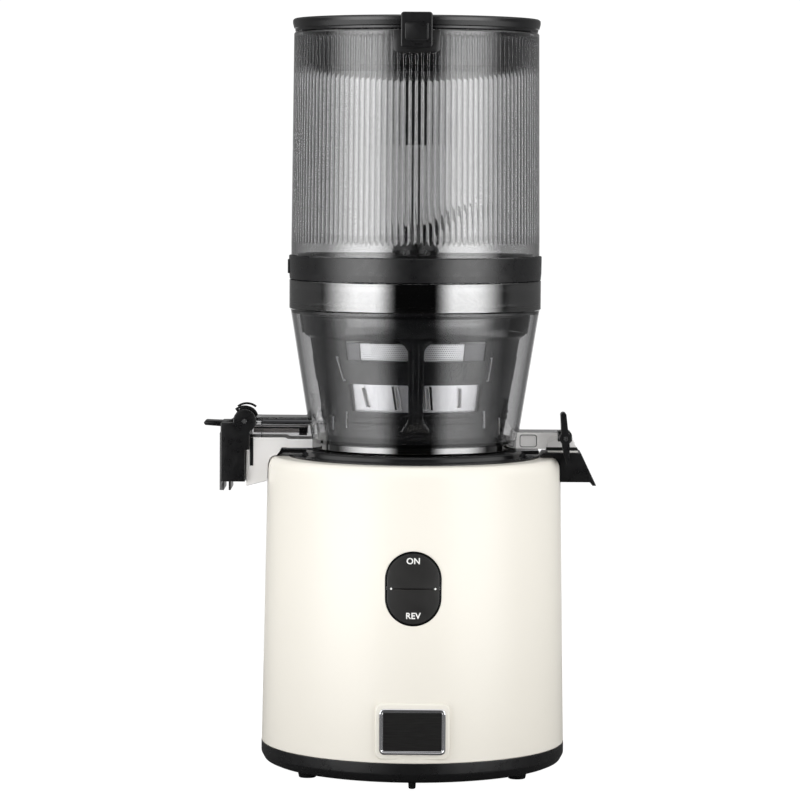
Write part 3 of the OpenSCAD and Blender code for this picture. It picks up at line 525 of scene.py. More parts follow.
M["badge"] = metal("badge_plate_dark", (0.075, 0.073, 0.072), (0.05, 0.049, 0.049), rough=0.38, spread=0.06, stretch=(0.04, 1, 1), scale=2600, h=0.000006, strength=0.35)
M["deck"] = plastic("deck_black_gloss", (0.0040, 0.0040, 0.0043), (0.0034, 0.0034, 0.0037), rough=0.16, spread=0.04, grain=1200, grain_h=0.000008, grain_s=0.2, spec=0.35)
M["hopper"] = clear("hopper_smoke", rough=0.012, spread=0.01, absorb=(0.10, 0.10, 0.12), density=62.0, ior=1.53, shadow=0.80)
M["bowl"] = clear("bowl_smoke", rough=0.010, spread=0.008, absorb=(0.12, 0.12, 0.14), density=95.0, ior=1.53, shadow=0.78, wave=0.00002)
M["band"] = clear("band_polished", rough=0.010, spread=0.006, absorb=(0.12, 0.12, 0.14), density=95.0, ior=2.3, shadow=0.78)
M["frost"] = clear("spout_frosted", rough=0.40, spread=0.05, tint=(0.93, 0.915, 0.90), absorb=(0.2, 0.2, 0.22), density=20.0, ior=1.5, shadow=0.85)
M["frost"].node_tree.nodes["Principled BSDF"].inputs["Transmission Weight"].default_value = 0.2
M["haze"] = clear("outlet_haze", rough=0.30, spread=0.05, tint=(0.94, 0.925, 0.915), absorb=(0.2, 0.2, 0.22), density=20.0, ior=1.5, shadow=0.85)
M["haze"].node_tree.nodes["Principled BSDF"].inputs["Transmission Weight"].default_value = 0.15

SLOT_MAT = {
    "cream_shell": "cream", "black_plastic": "black", "smoke_clear": "bowl", "hopper_clear": "hopper", "cage_plastic": "cage",
    "screen_steel": "screen", "auger_plastic": "auger", "steel": "steel", "aluminium": "cast", "copper": "copper",
    "lamination": "lamination", "rubber": "rubber", "silicone": "silicone", "chrome": "chrome", "badge_dark": "badge",
    "board_green": "board", "gear_nylon": "nylon", "white_plastic": "white", "lid_black": "lid",
}
slot_of = {s["node"]: s["material_slot"] for s in frame["record"]["subparts"]}
for name, o in frame["nodes"].items():
    o.data.materials.clear()
    o.data.materials.append(M[SLOT_MAT[slot_of[name]]])

# ------------------------------------------------------------------ base
def shell_r(z):
    return 91.9 + (88.9 - 91.9) * (z - 18.4) / (184.5 - 18.4)


def bowl_r(z):
    return 62.0 + (75.1 - 62.0) * (z - 196.6) / (279.2 - 196.6)


def hop_r(z):
    return 75.1 + (73.9 - 75.1) * (z - 313.4) / (447.5 - 313.4)


def cage_r(z):
    return 53.2 + 10.8 * (z - 200) / 64.0


RZ = 121.1
shoulder = [(88.9 - 4.4 + 4.4 * math.cos(rad(t)), 184.5 + 7.5 * math.sin(rad(t))) for t in range(0, 91, 6)]
prof = [(89.1, 18.4), (91.6, 18.4), (91.9, 18.75)] + [(shell_r(z), z) for z in (40, 70, 100, 130, 160)] + shoulder
prof += [(76.4, 192.0), (76.1, 191.7), (76.1, 189.4), (86.0, 188.6), (86.2, 183.5), (87.4, 100)]
base = lathe("base_shell", prof, 256, M["cream"])
pad = prism("pad", rrect(43.8, 33.2, 4.2, 8, 0, 37.3), -92.0, -86.5, "y")
bevel(pad, 1.3, 5, 60)
land = prism("land", rrect(24, 24, 5, 6, 0, 36), 85.5, 91.25, "y")
boole(base, [pad, land], "UNION")
cutters = [prism("c1", rrect(33.2, 44.0, 16.59, 20, 0, RZ), -97, -80, "y"), prism("c2", circle(7.5, 40, 0, 36), 80, 97, "y")]
boole(base, cutters)
bosses = []
for a in (45, 135, 225, 315):
    b = prism("b", circle(4.6, 32, 80.5, 0), 9.4, 54, "z")
    h = prism("h", circle(1.5, 24, 80.5, 0), 5, 35, "z")
    boole(b, [h])
    bosses.append(spin(b, a))
round_shade(base, 30)
boss = join("base_bosses", bosses, M["cream"])
shade(boss, 40)
put(base, "base", "cream_shell", "base_housing")
put(boss, "base", "cream_shell")

# deck
prof = fil([(75.6, 190), (75.6, 192.9, 0.35), (68.7, 192.9, 0.5), (67.8, 195.2, 1.0), (66.7, 196.2, 0.7), (56.8, 196.2, 0.6), (56.8, 192.8, 0.8), (18.4, 192.8, 0.8), (18.4, 196.2, 0.6),
            (13.1, 196.2, 0.3), (13.1, 186.6), (17, 186.6), (17, 190)], 5)
deck = lathe("deck_plate", prof, 224, M["deck"])
ledges = [prism("ledge", fil([(-83.6, 192.35, 0.3), (-80.6, 196.15, 0.8), (-62, 196.15), (-62, 194.0), (-79, 194.0, 0.6), (-81.6, 192.35, 0.2)], 4), -12.5, 12.5, "y"),
          block("ledge", (62, -12.5, 194.0), (75.4, 12.5, 196.15))]
for c in ledges:
    bevel(c, 0.35, 2, 50)
boole(deck, ledges, "UNION")
posts = []
for x, y in ((-43, -10), (43, -10), (-43, 46), (43, 46)):
    c = prism("p", circle(5, 32, x, y), 154.2, 190.5, "z")
    h = prism("h", circle(1.5, 24, x, y), 150, 180, "z")
    boole(c, [h])
    posts.append(c)
round_shade(deck, 30)
post = join("deck_posts", posts, M["deck"])
shade(post, 40)
put(deck, "base", "black_plastic", "top_deck")
put(post, "base", "black_plastic")

# bottom cover
prof = fil([(0, 6.2), (86.6, 6.2, 1.2), (89.9, 7.6, 2.4), (92.1, 11.6, 3.0), (92.1, 18.3, 0.35), (88.9, 18.3), (88.6, 24, 0.4), (86.4, 24, 0.4), (86.0, 9.2), (0, 9.2)], 6)
cover = lathe("skirt_cover", prof, 224, M["black"])
cuts = []
for i in range(16):
    c = prism("s", rrect(16, 4, 1.95, 6, 44, 0), 0, 20, "z")
    cuts.append(spin(c, i * 22.5 + 11.25))
for a in (45, 135, 225, 315):
    c = prism("s", circle(3.6, 32, 80.5, 0), 0, 7.8, "z")
    cuts.append(spin(c, a))
feet = [(71 * math.sin(rad(a)), -71 * math.cos(rad(a))) for a in (-62.6, 62.6, -120, 120)]
boole(cover, [join("cuts", cuts)])
round_shade(cover, 30)
put(cover, "base", "black_plastic", "bottom_cover")

fs = []
for x, y in feet:
    f = lathe("f", fil([(0, 0), (5.1, 0, 0.6), (6.4, 6.18, 0.2), (0, 6.18)], 5), 48)
    fs.append(move(f, (x, y, 0)))
f = lathe("f", fil([(0, 0), (2.1, 0, 1.9), (2.4, 6.18), (0, 6.18)], 8), 40)
fs.append(move(f, (0, -71, 0)))
foot = join("feet_rubber", fs, M["rubber"])
shade(foot, 40)
put(foot, "base", "rubber", "rubber_feet")

# cord gland with its ribbed collar
prof = fil([(3.75, 82.4, 0.3), (9.4, 82.4, 0.5), (9.4, 85.4, 0.5), (7.4, 85.4), (7.4, 91.7), (10, 91.7, 0.6), (10, 93.6, 0.9), (8.2, 94.6, 0.5), (3.75, 94.6, 0.5)], 5)
gl = lathe("gland", prof, 64, M["rubber"])
gl.data.transform(Matrix.Translation((0, 0, 36 * K)) @ Matrix.Rotation(rad(-90), 4, "X"))
shade(gl, 35)
put(gl, "base", "rubber", "cord_gland")

# ------------------------------------------------------------------ switch
def stadium_panel(name, w, h, y_back, y_front, mat, R, bev, zc=RZ, extra=()):
    """Plate whose front lies on a cylinder. y_front is its distance under that surface."""
    pts = rrect(w, h, w / 2 - 0.01, 24, 0, zc)
    o = prism(name, pts, 0.0, 1.0, "y", mat)
    slices(o, 1.6, "x", -w / 2 + 0.8, w / 2)
    for v in o.data.vertices:
        x = v.co.x / K
        v.co.y = (y_back if v.co.y > 0.5 * K else -(math.sqrt(R * R - x * x) - y_front)) * K
    o.data.update()
    return o


bez = stadium_panel("bezel", 33.0, 43.8, -78, 0.15, M["black_gloss"], 90.4, 0)
inner = prism("in", rrect(31.6, 42.4, 15.79, 24, 0, RZ), -97, -79.6, "y")
win = block("w", (-9, -80, RZ - 12), (9, -77, RZ + 12))
boole(bez, [inner, win])
round_shade(bez, 25)
put(bez, "base", "black_plastic", "switch_bezel")

rk = stadium_panel("rocker_cap", 30.7, 41.5, -83.9, 0.0, M["switch"], 90.4, 0)
bevel(rk, 0.7, 4, 50)
slices(rk, 1.5, "z", RZ - 20, RZ + 20)
# V groove between the halves, and the fork that works the switch
gr = prism("g", [(-88.9, RZ), (-92, RZ + 0.75), (-92, RZ - 0.75)], -20, 20, "x")
boole(rk, [gr])
for v in rk.data.vertices:
    # each half dishes in a little towards its middle
    x, y, z = v.co.x / K, v.co.y / K, v.co.z / K
    if y < -86:
        d = abs(z - RZ)
        k = max(0.0, 1 - (x / 14.0) ** 2) * max(0.0, 1 - ((d - 10.5) / 10.0) ** 2)
        v.co.y += 0.28 * k * K
shade(rk, 24)
fork = block("rocker_fork", (-8.5, -84.1, RZ - 4), (8.5, -80.6, RZ + 4), M["switch"], 0.4)
flat_shade(fork)
put(rk, "rocker", "black_plastic", "rocker_switch")
put(fork, "rocker", "black_plastic")


def lettering(name, text, size, z, body):
    cu = bpy.data.curves.new(name, "FONT")
    cu.body = text
    cu.size = size * K
    cu.align_x = "CENTER"
    cu.align_y = "CENTER"
    cu.extrude = 0.05 * K
    cu.offset = 0.11 * K
    cu.space_character = 1.04
    cu.resolution_u = 8
    t = bpy.data.objects.new(name + "_c", cu)
    SC.collection.objects.link(t)
    bpy.context.view_layer.update()
    dg = bpy.context.evaluated_depsgraph_get()
    me = bpy.data.meshes.new_from_object(t.evaluated_get(dg))
    bpy.data.objects.remove(t, do_unlink=True)
    o = bpy.data.objects.new(name, me)
    SC.collection.objects.link(o)
    me.materials.clear()
    me.materials.append(M["mark"])
    bm = bmesh.new()
    bm.from_mesh(me)
    bmesh.ops.remove_doubles(bm, verts=bm.verts, dist=1e-6)
    bm.to_mesh(me)
    bm.free()
    me.transform(Matrix.Rotation(rad(90), 4, "X"))
    for v in me.vertices:
        x = v.co.x / K
        zz = v.co.z / K + z
        d = abs(zz - RZ)
        k = max(0.0, 1 - (x / 14.0) ** 2) * max(0.0, 1 - ((d - 10.5) / 10.0) ** 2)
        v.co.z = zz * K
        v.co.y += -(math.sqrt(90.4 ** 2 - x * x) - 0.28 * k + 0.03) * K
    me.update()
    put(o, body, "white_plastic")
    return o


lettering("mark_on", "ON", 5.0, RZ + 16.2, "rocker")
lettering("mark_rev", "REV", 5.0, RZ - 16.0, "rocker")
dots = []
for x in (-12.9, 12.9):
    d = prism("d", circle(0.62, 24, x, RZ), -(math.sqrt(90.4 ** 2 - x * x) + 0.06), -(math.sqrt(90.4 ** 2 - x * x) - 1.0), "y")
    dots.append(d)
dot = join("mark_dots", dots, M["mark"])
shade(dot, 40)
put(dot, "rocker", "white_plastic")


# ------------------------------------------------------------------ badge: bright frame round a bare dark plate
def ring_sweep(name, w, h, r, sect, mat, cz, n=10):
    """Frame swept round a rectangle with round corners. sect: (inset, y) points of its closed section."""
    rows, verts, faces = [], [], []
    for d, y in sect:
        pts = []
        for sx, sy, a0 in ((1, 1, 0), (-1, 1, 90), (-1, -1, 180), (1, -1, 270)):
            for k in range(n + 1):
                a = rad(a0 + 90 * k / n)
                rr = max(r - d, 0.25)
                pts.append((sx * (w / 2 - d - rr) + rr * math.cos(a), cz + sy * (h / 2 - d - rr) + rr * math.sin(a)))
        row = []
        for u, v in pts:
            row.append(len(verts))
            verts.append((u, y, v))
        rows.append(row)
    m = len(rows[0])
    for j in range(len(rows)):
        A, B = rows[j], rows[(j + 1) % len(rows)]
        for i in range(m):
            k = (i + 1) % m
            faces.append([A[i], A[k], B[k], B[i]])
    return mesh_obj(name, verts, faces, mat)


sect = [(0.0, -92.02), (0.0, -92.9), (0.12, -93.35), (0.45, -93.72), (0.9, -93.88), (1.35, -93.78), (1.62, -93.5), (1.72, -93.3),
        (1.85, -93.42), (2.1, -93.46), (2.32, -93.34), (2.42, -93.0), (2.42, -92.02)]
bf = ring_sweep("badge_ring", 39.1, 27.3, 3.2, sect, M["chrome"], 37.3)
shade(bf, 50)
put(bf, "base", "chrome", "badge_frame")
bp = prism("badge_face", rrect(34.2, 22.4, 1.2, 6, 0, 37.3), -93.0, -92.82, "y", M["badge"], 0.05, 2)
flat_shade(bp)
back = prism("badge_back", rrect(35.8, 23.8, 1.8, 6, 0, 37.3), -92.78, -92.02, "y", M["black"])
put(bp, "base", "badge_dark", "badge_plate")
put(back, "base", "black_plastic")

# ------------------------------------------------------------------ pulp chute
cp = fil([(76.2, 192.2), (84.0, 192.2), (84.0, 177.4), (106.2, 177.4, 0.6), (107.9, 175.3, 0.3), (110.2, 175.3, 0.3), (100.85, 194.9, 0.3), (77.8, 194.9, 0.7)], 4)
chute = prism("chute_body", cp, -14, 14, "y", M["black"])
bevel(chute, 0.7, 3, 40)
hole = prism("h", [(91.9, 200), (91.9, 170), (105.4, 170), (104.9, 178.8), (99.0, 191.8), (95.6, 200)], -11.8, 11.8, "y")
clearance = lathe("cl", [(60, 150), (89.9, 150), (89.15, 184.5), (88.9, 187.4), (87.9, 189.9), (86.4, 191.5), (84.4, 192.18), (60, 192.18)], 224)
boole(chute, [hole, clearance])
shade(chute, 32)
put(chute, "base", "black_plastic", "pulp_chute")

# ------------------------------------------------------------------ bowl
def wrap(o, rfn, deg, ref=None):
    """Lays a flat piece round the Z axis. Its x runs along the arc, its y points outwards from the surface of radius rfn(z)."""
    for v in o.data.vertices:
        s, d, z = v.co.x / K, v.co.y / K, v.co.z / K
        R = rfn(z)
        a = rad(deg) + s / (ref or R)
        v.co = Vector(((R + d) * math.sin(a), -(R + d) * math.cos(a), z)) * K
    bm = bmesh.new()
    bm.from_mesh(o.data)
    bmesh.ops.recalc_face_normals(bm, faces=bm.faces)
    bm.to_mesh(o.data)
    bm.free()
    o.data.update()
    return o


def wrapped(name, pts, d0, d1, rfn, deg, mat=None, bev=0.0, step=3.0, ref=None, seg=2):
    pts = clean(pts)
    o = prism(name, pts, d0, d1, "y", mat)
    if bev:
        bevel(o, bev, seg, 40)
    xs = [p[0] for p in pts]
    if max(xs) - min(xs) > step:
        slices(o, step, "x", min(xs) + step * 0.5, max(xs))
    return wrap(o, rfn, deg, ref)


outer = fil([(14.6, 196.5), (61.9, 196.5, 0.6), (62.85, 197.5, 0.7), (62.85, 200.9, 0.35), (62.8, 201.7), (75.1, 279.2, 0.8), (75.45, 280.9, 0.2), (76.2, 281.6, 0.3), (76.2, 298.8, 0.7), (73.2, 298.8, 0.6)], 5)
inner = fil([(72.9, 279.8, 0.6), (72.51, 278), (60.62, 203, 2.0), (57.48, 199.6, 2.5), (17.2, 199.6, 0.4), (17.2, 206.6, 0.3), (14.6, 206.6, 0.3)], 6)
bowl = lathe("bowl_wall", outer + inner, 256, M["bowl"])
locate = lathe("loc", [(50.5, 193.2), (56.4, 193.2), (56.4, 196.6), (50.5, 196.6)], 128)
chan = prism("ch", rrect(25, 18.8, 1.6, 8, 0, 206.1), -100, -58, "x")
spout = prism("sp", fil([(-101.5, 203.5), (-101.5, 173.8, 0.5), (-85.5, 177.9), (-80.2, 197.1), (-75.8, 197.1, 0.6), (-75.8, 203.5, 2.2), (-99.0, 203.5)], 5), -12.7, 12.7, "y")
bevel(spout, 0.4, 3, 40)
boole(spout, [lathe("sc", [(50, 150), (91.1, 150), (89.75, 178), (89.5, 184.5), (89.2, 187.4), (88.3, 190), (86.8, 191.9), (85.2, 192.5), (84.1, 192.6), (81.1, 196.35), (80.4, 196.6), (50, 196.6)], 224)])
sill = block("sl", (-77.5, -12.62, 197.0), (-61.0, 12.62, 202.5))
bevel(sill, 0.3, 2, 50)
upper = block("up", (-101.5, -12.5, 200), (-92.5, 12.5, 215.5))
bevel(upper, 0.8, 3, 40)
ears = []
for s in (-1, 1):
    y0, y1 = (10.3, 12.5) if s > 0 else (-12.5, -10.3)
    e = prism("e", circle(4.6, 40, -102.4, 213.3), y0, y1, "y")
    b = block("eb", (-102.4, y0, 208.7), (-98, y1, 215.5))
    boole(e, [b], "UNION")
    ears.append(e)
pulp = prism("pl", fil([(58, 197.4), (98.6, 197.4, 0.6), (94.2, 207.3, 0.8), (58, 207.3)], 4), -13, 13, "y")
bevel(pulp, 0.9, 3, 40)
pocket = [prism("pk", rrect(10.4, 7.6, 1.6, 6, 68.9, 202.2), y0, y1, "y") for y0, y1 in ((-14, -12.45), (12.45, 14))]
boole(pulp, pocket)
boole(bowl, [locate, chan, spout, sill, upper] + ears + [pulp], "UNION")
keep_in = lathe("in", [(17.3, 199.7), (57.2, 199.7), (60.5, 203.2), (72.42, 278), (72.42, 300), (17.3, 300)], 256)
passage = prism("ps", rrect(20.6, 13.2, 1.4, 8, 0, 205.45), -99.4, -40, "x")
drop = block("dr", (-99.4, -10.3, 186), (-92, 10.3, 213.2), None, 0.8)
mouth = prism("mo", rrect(18, 15, 2.0, 6, 0, 195), -103, -99, "x")
skirt = block("sk", (-103, -10.3, 170), (-92, 10.3, 183.6))
pins = [prism("pn", circle(1.5, 24, -102.4, 213.3), y0, y1, "y") for y0, y1 in ((9.5, 13.5), (-13.5, -9.5))]
pp = block("pp", (50, -11.1, 200.2), (110, 11.1, 205.3), None, 0.6)
pf = block("pf", (86.5, -11.1, 190), (110, 11.1, 204))
boole(bowl, [keep_in, passage, drop, mouth, skirt] + pins + [pp, pf])
round_shade(bowl, 30)
me = bowl.data
for name in ("frost", "haze", "band"):
    me.materials.append(M[name])
for p in me.polygons:
    c = p.center / K
    side = abs(p.normal.y) > 0.6
    if c.x < -60 and c.z < 203.4 and side and abs(c.y) > 12.66:
        p.material_index = 1
    elif c.x < -60 and c.z < 202.6 and side and abs(c.y) > 12.57:
        p.material_index = 2
    elif c.x > 60 and c.z < 207.4 and side and abs(c.y) > 12.4:
        p.material_index = 2
    elif 281.7 < c.z < 298.4 and math.hypot(c.x, c.y) > 76.0 and abs(p.normal.z) < 0.3:
        p.material_index = 3
    elif 197.4 < c.z < 201.0 and 62.7 < math.hypot(c.x, c.y) < 63.0 and abs(p.normal.z) < 0.3:
        p.material_index = 3
put(bowl, "bowl", "smoke_clear", "juice_bowl")

# black strips inside the juice channel: painted shade, a dark band where the channel has only shade; and thin black
# strips on the spout's sides at its outer end, the black edge of the spout's seal
gd = [block("g", (-98.6, y0, 208.7), (-64.6, y1, 209.5), None, 0.05) for y0, y1 in ((-10.15, -9.75), (9.75, 10.15))]
gd += [block("g", (-69.6, y0, 204.6), (-64.8, y1, 209.3), None, 0.05) for y0, y1 in ((-10.1, -9.8), (9.8, 10.1))]
gd += [block("g", (-99.25, y0, 186.2), (-97.2, y1, 203.2), None, 0.1) for y0, y1 in ((-13.0, -12.72), (12.72, 13.0))]
# painted shade: black strips that stand in for the dark band seen inside the channel
channel_shade = join("channel_painted_shade_strips", gd, M["black"])
back = block("channel_back", (-98.0, 8.9, 204.7), (-65.0, 9.4, 208.6), M["smoke_plate"], 0.1)
shade(back, 40)
put(back, "bowl", "smoke_clear")
shade(channel_shade, 40)
put(channel_shade, "bowl", "rubber")

# thin black frame round the pocket on each side of the pulp channel: a painted shadow line along the pocket's edge
edges = []
for y0, y1 in ((-12.98, -12.5), (12.5, 12.98)):
    e = prism("pe", rrect(10.35, 7.55, 1.6, 6, 68.9, 202.2), y0, y1, "y")
    boole(e, [prism("pi", rrect(9.65, 6.85, 1.3, 6, 68.9, 202.2), -14, 14, "y")])
    edges.append(e)
# painted shade: the black frame stands in for the shadow line round the pocket
edge = join("pocket_painted_shadow_line", edges, M["black"])
shade(edge, 40)
put(edge, "bowl", "smoke_clear")
strip = block("outlet_floor_edge", (80.6, -13.28, 195.35), (98.9, -12.8, 196.45), M["light_edge"], 0.15)
shade(strip, 40)
put(strip, "bowl", "smoke_clear")
trim = block("trim_body", (79.6, -13.3, 196.6), (99.0, 13.3, 198.5), M["rubber"])
bevel(trim, 0.25, 2, 50)
boole(trim, [block("t", (79.0, -13.04, 197.36), (102, 13.04, 199)), block("t", (87.4, -11, 190), (97.2, 11, 200)), prism("t", [(98.3, 198.6), (99.4, 196.1), (102, 195), (102, 199)], -20, 20, "y")])
shade(trim, 34)
put(trim, "bowl", "rubber", "outlet_gasket")

# ------------------------------------------------------------------ strainer cage with its windows, rib and wiper slots
prof = fil([(cage_r(199.7) - 3.2, 199.7), (cage_r(199.7), 199.7, 0.4), (cage_r(214.6), 214.6), (cage_r(215.0) + 0.55, 215.2, 0.3), (cage_r(216.9) + 0.55, 216.9, 0.3), (cage_r(217.3), 217.3, 0.3),
            (cage_r(218.6), 218.6, 0.3), (cage_r(218.9) + 0.55, 219.0, 0.3), (cage_r(219.9) + 0.55, 219.9, 0.3), (cage_r(220.3), 220.3, 0.3), (64.0, 264.0, 1.0), (66.8, 266.0, 0.8), (68.6, 277.6, 3.0), (72.4, 280.2, 0.5), (72.4, 283.6, 0.5),
            (70.0, 283.6, 0.5), (66.4, 279.4, 2.0), (64.6, 268.2, 1.0), (cage_r(263) - 2.2, 263.0, 1.0), (cage_r(203) - 2.2, 203.0)], 5)
cage = lathe("cage_body", prof, 240, M["cage"])
cuts = []
for k in range(3):
    A = 120 * k
    for z0, z1, R0, rt in ((252.4, 264.0, 62.9, 5.6), (221.9, 238.3, 58.1, 0.8)):
        s0, s1 = R0 * rad(4.3), R0 * rad(41.3)
        cuts.append(wrapped("w", fil([(s0, z0, 0.8), (s1, z0, 0.8), (s1, z1, 0.8), (s0, z1, rt)], 8), -9, 7, cage_r, A + 0.7, ref=R0))
        cuts.append(wrapped("w", fil([(-s0, z0, 0.8), (-s0, z1, rt), (-s1, z1, 0.8), (-s1, z0, 0.8)], 8), -9, 7, cage_r, A + 0.7, ref=R0))
    slots = [(-47.2, -43.9, 254.6, 239.7), (46.6, 45.9, 254.6, 239.6)]
    if k == 0:
        slots += [(-44.3, -46.1, 221.7, 211.3), (45.8, 48.0, 222.6, 211.3), (-58.0, -60.5, 217.9, 209.3), (63.0, 68.0, 217.6, 206.0)]
    for a, b, z0, z1 in slots:
        w = 0.75 if z0 > 230 or a in (-44.3,) else 1.15
        s0, s1 = rad(a) * 58, rad(b) * 58
        cuts.append(wrapped("s", fil([(s1 - w, z1, 0.4), (s1 + w, z1, 0.4), (s0 + w, z0, 0.4), (s0 - w, z0, 0.4)], 3), -9, 7, cage_r, A, ref=58.0))
port_c = block("pc", (40, -10, 195), (60, 10, 205.2))
gap = sector("gap", 60.0, 80.0, 266.4, 278.2, 54.5, 126.0)
boole(cage, [join("cuts", cuts), port_c, gap])
round_shade(cage, 30)
put(cage, "bowl", "cage_plastic", "strainer_cage")

# raised ribs that flare into the bands at both ends
ribs, lips = [], []
for k in range(3):
    A = 120 * k
    h = 4.45
    out = [(-h, 240), (-h, 217.5, 6), (-h - 4.6, 211.2, 5), (-h - 4.6, 209.6, 0.4), (h + 4.6, 209.6, 0.4), (h + 4.6, 211.2, 5), (h, 217.5, 6), (h, 259.5, 6), (h + 5.4, 265.4, 4), (h + 5.4, 265.9, 0.3), (-h - 5.4, 265.9, 0.3), (-h - 5.4, 265.4, 4), (-h, 259.5, 6)]
    r = wrapped("rib", fil(out, 6), -1.2, 0.85, cage_r, A + 0.7, M["cage"], 0.4, 1.8, 60.0)
    ribs.append(r)
    for dx in (-1.6, 1.5):
        ribs.append(wrapped("rl", rrect(0.5, 51, 0.2, 3, dx, 237.5), 0.5, 1.15, cage_r, A + 0.7, M["cage"], 0.12, 3.0, 60.0))
rib = join("cage_ribs", ribs, M["cage"])
shade(rib, 40)
put(rib, "bowl", "cage_plastic")

# raised neck panel
npan = []
for k in range(3):
    A = 120 * k
    R0 = 67.0
    s0, s1 = rad(-36.6) * R0, rad(52.4) * R0
    nr = lambda z: 66.8 + (68.6 - 66.8) * (z - 266.0) / 11.6
    if k == 0:
        pts = fil([(s0, 266.5, 0.6), (s1, 266.5, 0.6), (s1, 275.4, 0.4), (s1 - 2.2, 275.4, 0.3), (s1 - 2.2, 277.9, 0.6), (s0, 277.9, 2.6)], 5)
    else:
        pts = fil([(rad(-34) * R0, 266.5, 0.6), (rad(34) * R0, 266.5, 0.6), (rad(34) * R0, 277.9, 2.6), (rad(-34) * R0, 277.9, 2.6)], 5)
    npan.append(wrapped("np", pts, -0.8, 1.6, nr, A, M["neck"], 0.6, 2.4, R0))
npanel = join("cage_neck_panel", npan, M["neck"])
shade(npanel, 40)
put(npanel, "bowl", "cage_plastic")

# wiper lips of light silicone that stand in the slots
def lip(a0, z0, a1, z1, w, hook, d0=-2.6, d1=0.35, R0=58.0):
    s0, s1 = rad(a0) * R0, rad(a1) * R0
    t = hook
    pts = [(s1 - w / 2, z1), (s1 + w / 2, z1), (s0 + w / 2, z0), (s0 - w / 2, z0)]
    out = [wrapped("lip", fil([(p[0], p[1], w * 0.3) for p in pts], 3), d0, d1, cage_r, 0, M["silicone"], 0.0, 3.0, R0)]
    if t:
        for s, z, up in ((s0, z0, -1), (s1, z1, 1)):
            x0, x1 = sorted((s, s + t))
            zz0, zz1 = sorted((z, z + up * w))
            out.append(wrapped("lip", [(x0, zz0), (x1, zz0), (x1, zz1), (x0, zz1)], d0, d1, cage_r, 0, M["silicone"], 0.0, 3.0, R0))
    return out


lips = []
lips += lip(-47.2, 254.3, -43.9, 240.0, 0.75, 1.6)
lips += lip(46.6, 254.3, 45.9, 239.9, 0.75, -1.6)
lips += lip(-44.3, 221.4, -46.1, 211.6, 0.65, 1.0)
lips += lip(45.8, 222.3, 48.0, 211.6, 1.5, 0)
lips += lip(-58.0, 217.6, -60.5, 209.6, 1.0, 0)
lips += lip(63.0, 217.3, 68.0, 206.4, 1.5, 0)
lp = join("wiper_lips", lips, M["silicone"])
shade(lp, 40)
put(lp, "bowl", "silicone")

# wiper blades in the lower windows, each a thin frame round a slot
fr = []
for a0, a1, side in ((-11.6, -7.0, 1), (8.0, 12.0, -1)):
    R0 = 57.4
    r2 = lambda z: cage_r(z) - 2.3
    zt, zb = 237.2, 223.6
    for q, w in ((0.0, 0.55), (2.2 * side, 0.55)):
        s0, s1 = rad(a0) * R0 + q, rad(a0 + (a1 - a0) * 0.35) * R0 + q
        fr.append(wrapped("bl", [(s1 - w / 2, zb), (s1 + w / 2, zb), (s0 + w / 2, zt), (s0 - w / 2, zt)], 0.0, 1.9, r2, 0, M["silicone"], 0.0, 3.0, R0))
    for z in (zt - 0.3, zb + 0.3):
        s = (rad(a0) if z > 230 else rad(a0 + (a1 - a0) * 0.35)) * R0
        x0, x1 = sorted((s, s + 2.2 * side))
        fr.append(wrapped("bl", [(x0, z - 0.3), (x1, z - 0.3), (x1, z + 0.3), (x0, z + 0.3)], 0.0, 1.9, r2, 0, M["silicone"], 0.0, 3.0, R0))
for a0, a1, side in ((-31.6, -29.6, 1), (27.6, 28.6, -1)):
    R0 = 57.4
    s0, s1 = rad(a0) * R0, rad(a1) * R0
    w = 0.6
    fr.append(wrapped("bl", [(s1 - w / 2, 224.6), (s1 + w / 2, 224.6), (s0 + w / 2, 236.2), (s0 - w / 2, 236.2)], 0.0, 1.9, r2, 0, M["silicone"], 0.0, 3.0, R0))
    x0, x1 = sorted((s1, s1 + 1.3 * side))
    fr.append(wrapped("bl", [(x0, 224.6), (x1, 224.6), (x1, 225.2), (x0, 225.2)], 0.0, 1.9, r2, 0, M["silicone"], 0.0, 3.0, R0))
blades = join("wiper_blades", fr, M["silicone"])
shade(blades, 40)
put(blades, "bowl", "silicone")
sl = []
for a0, a1, off in ((-11.6, -7.0, -1.1), (8.0, 12.0, 1.1)):
    R0 = 57.4
    s0, s1 = rad(a0) * R0 + off, rad(a0 + (a1 - a0) * 0.35) * R0 + off
    w = 0.8
    sl.append(wrapped("dk", [(s1 - w, 223.4), (s1 + w, 223.4), (s0 + w, 237.4), (s0 - w, 237.4)], -0.3, 0.6, lambda z: cage_r(z) - 2.3, 0, M["cage"], 0.0, 3.0, R0))
dk = join("wiper_holders", sl, M["cage"])
shade(dk, 40)
put(dk, "bowl", "cage_plastic")

# solid bands of the strainer's own frame behind the windows
fb = []
for k in range(3):
    for a0, a1 in ((28.4, 44.0), (-44.0, -31.8)):
        for z0, z1 in ((249.0, 263.0),):
            s0, s1 = rad(a0) * 60, rad(a1) * 60
            fb.append(wrapped("fb", [(s0, z0), (s1, z0), (s1, z1), (s0, z1)], -2.3, -1.8, cage_r, 120 * k, M["nylon"], 0.0, 2.5, 60.0))
M["frame_grey"] = plastic("strainer_frame_grey", (0.20, 0.20, 0.21), (0.17, 0.17, 0.18), rough=0.36, spread=0.06, grain=1600)
fbo = join("strainer_frame_bands", fb, M["frame_grey"])
shade(fbo, 40)
put(fbo, "bowl", "cage_plastic")


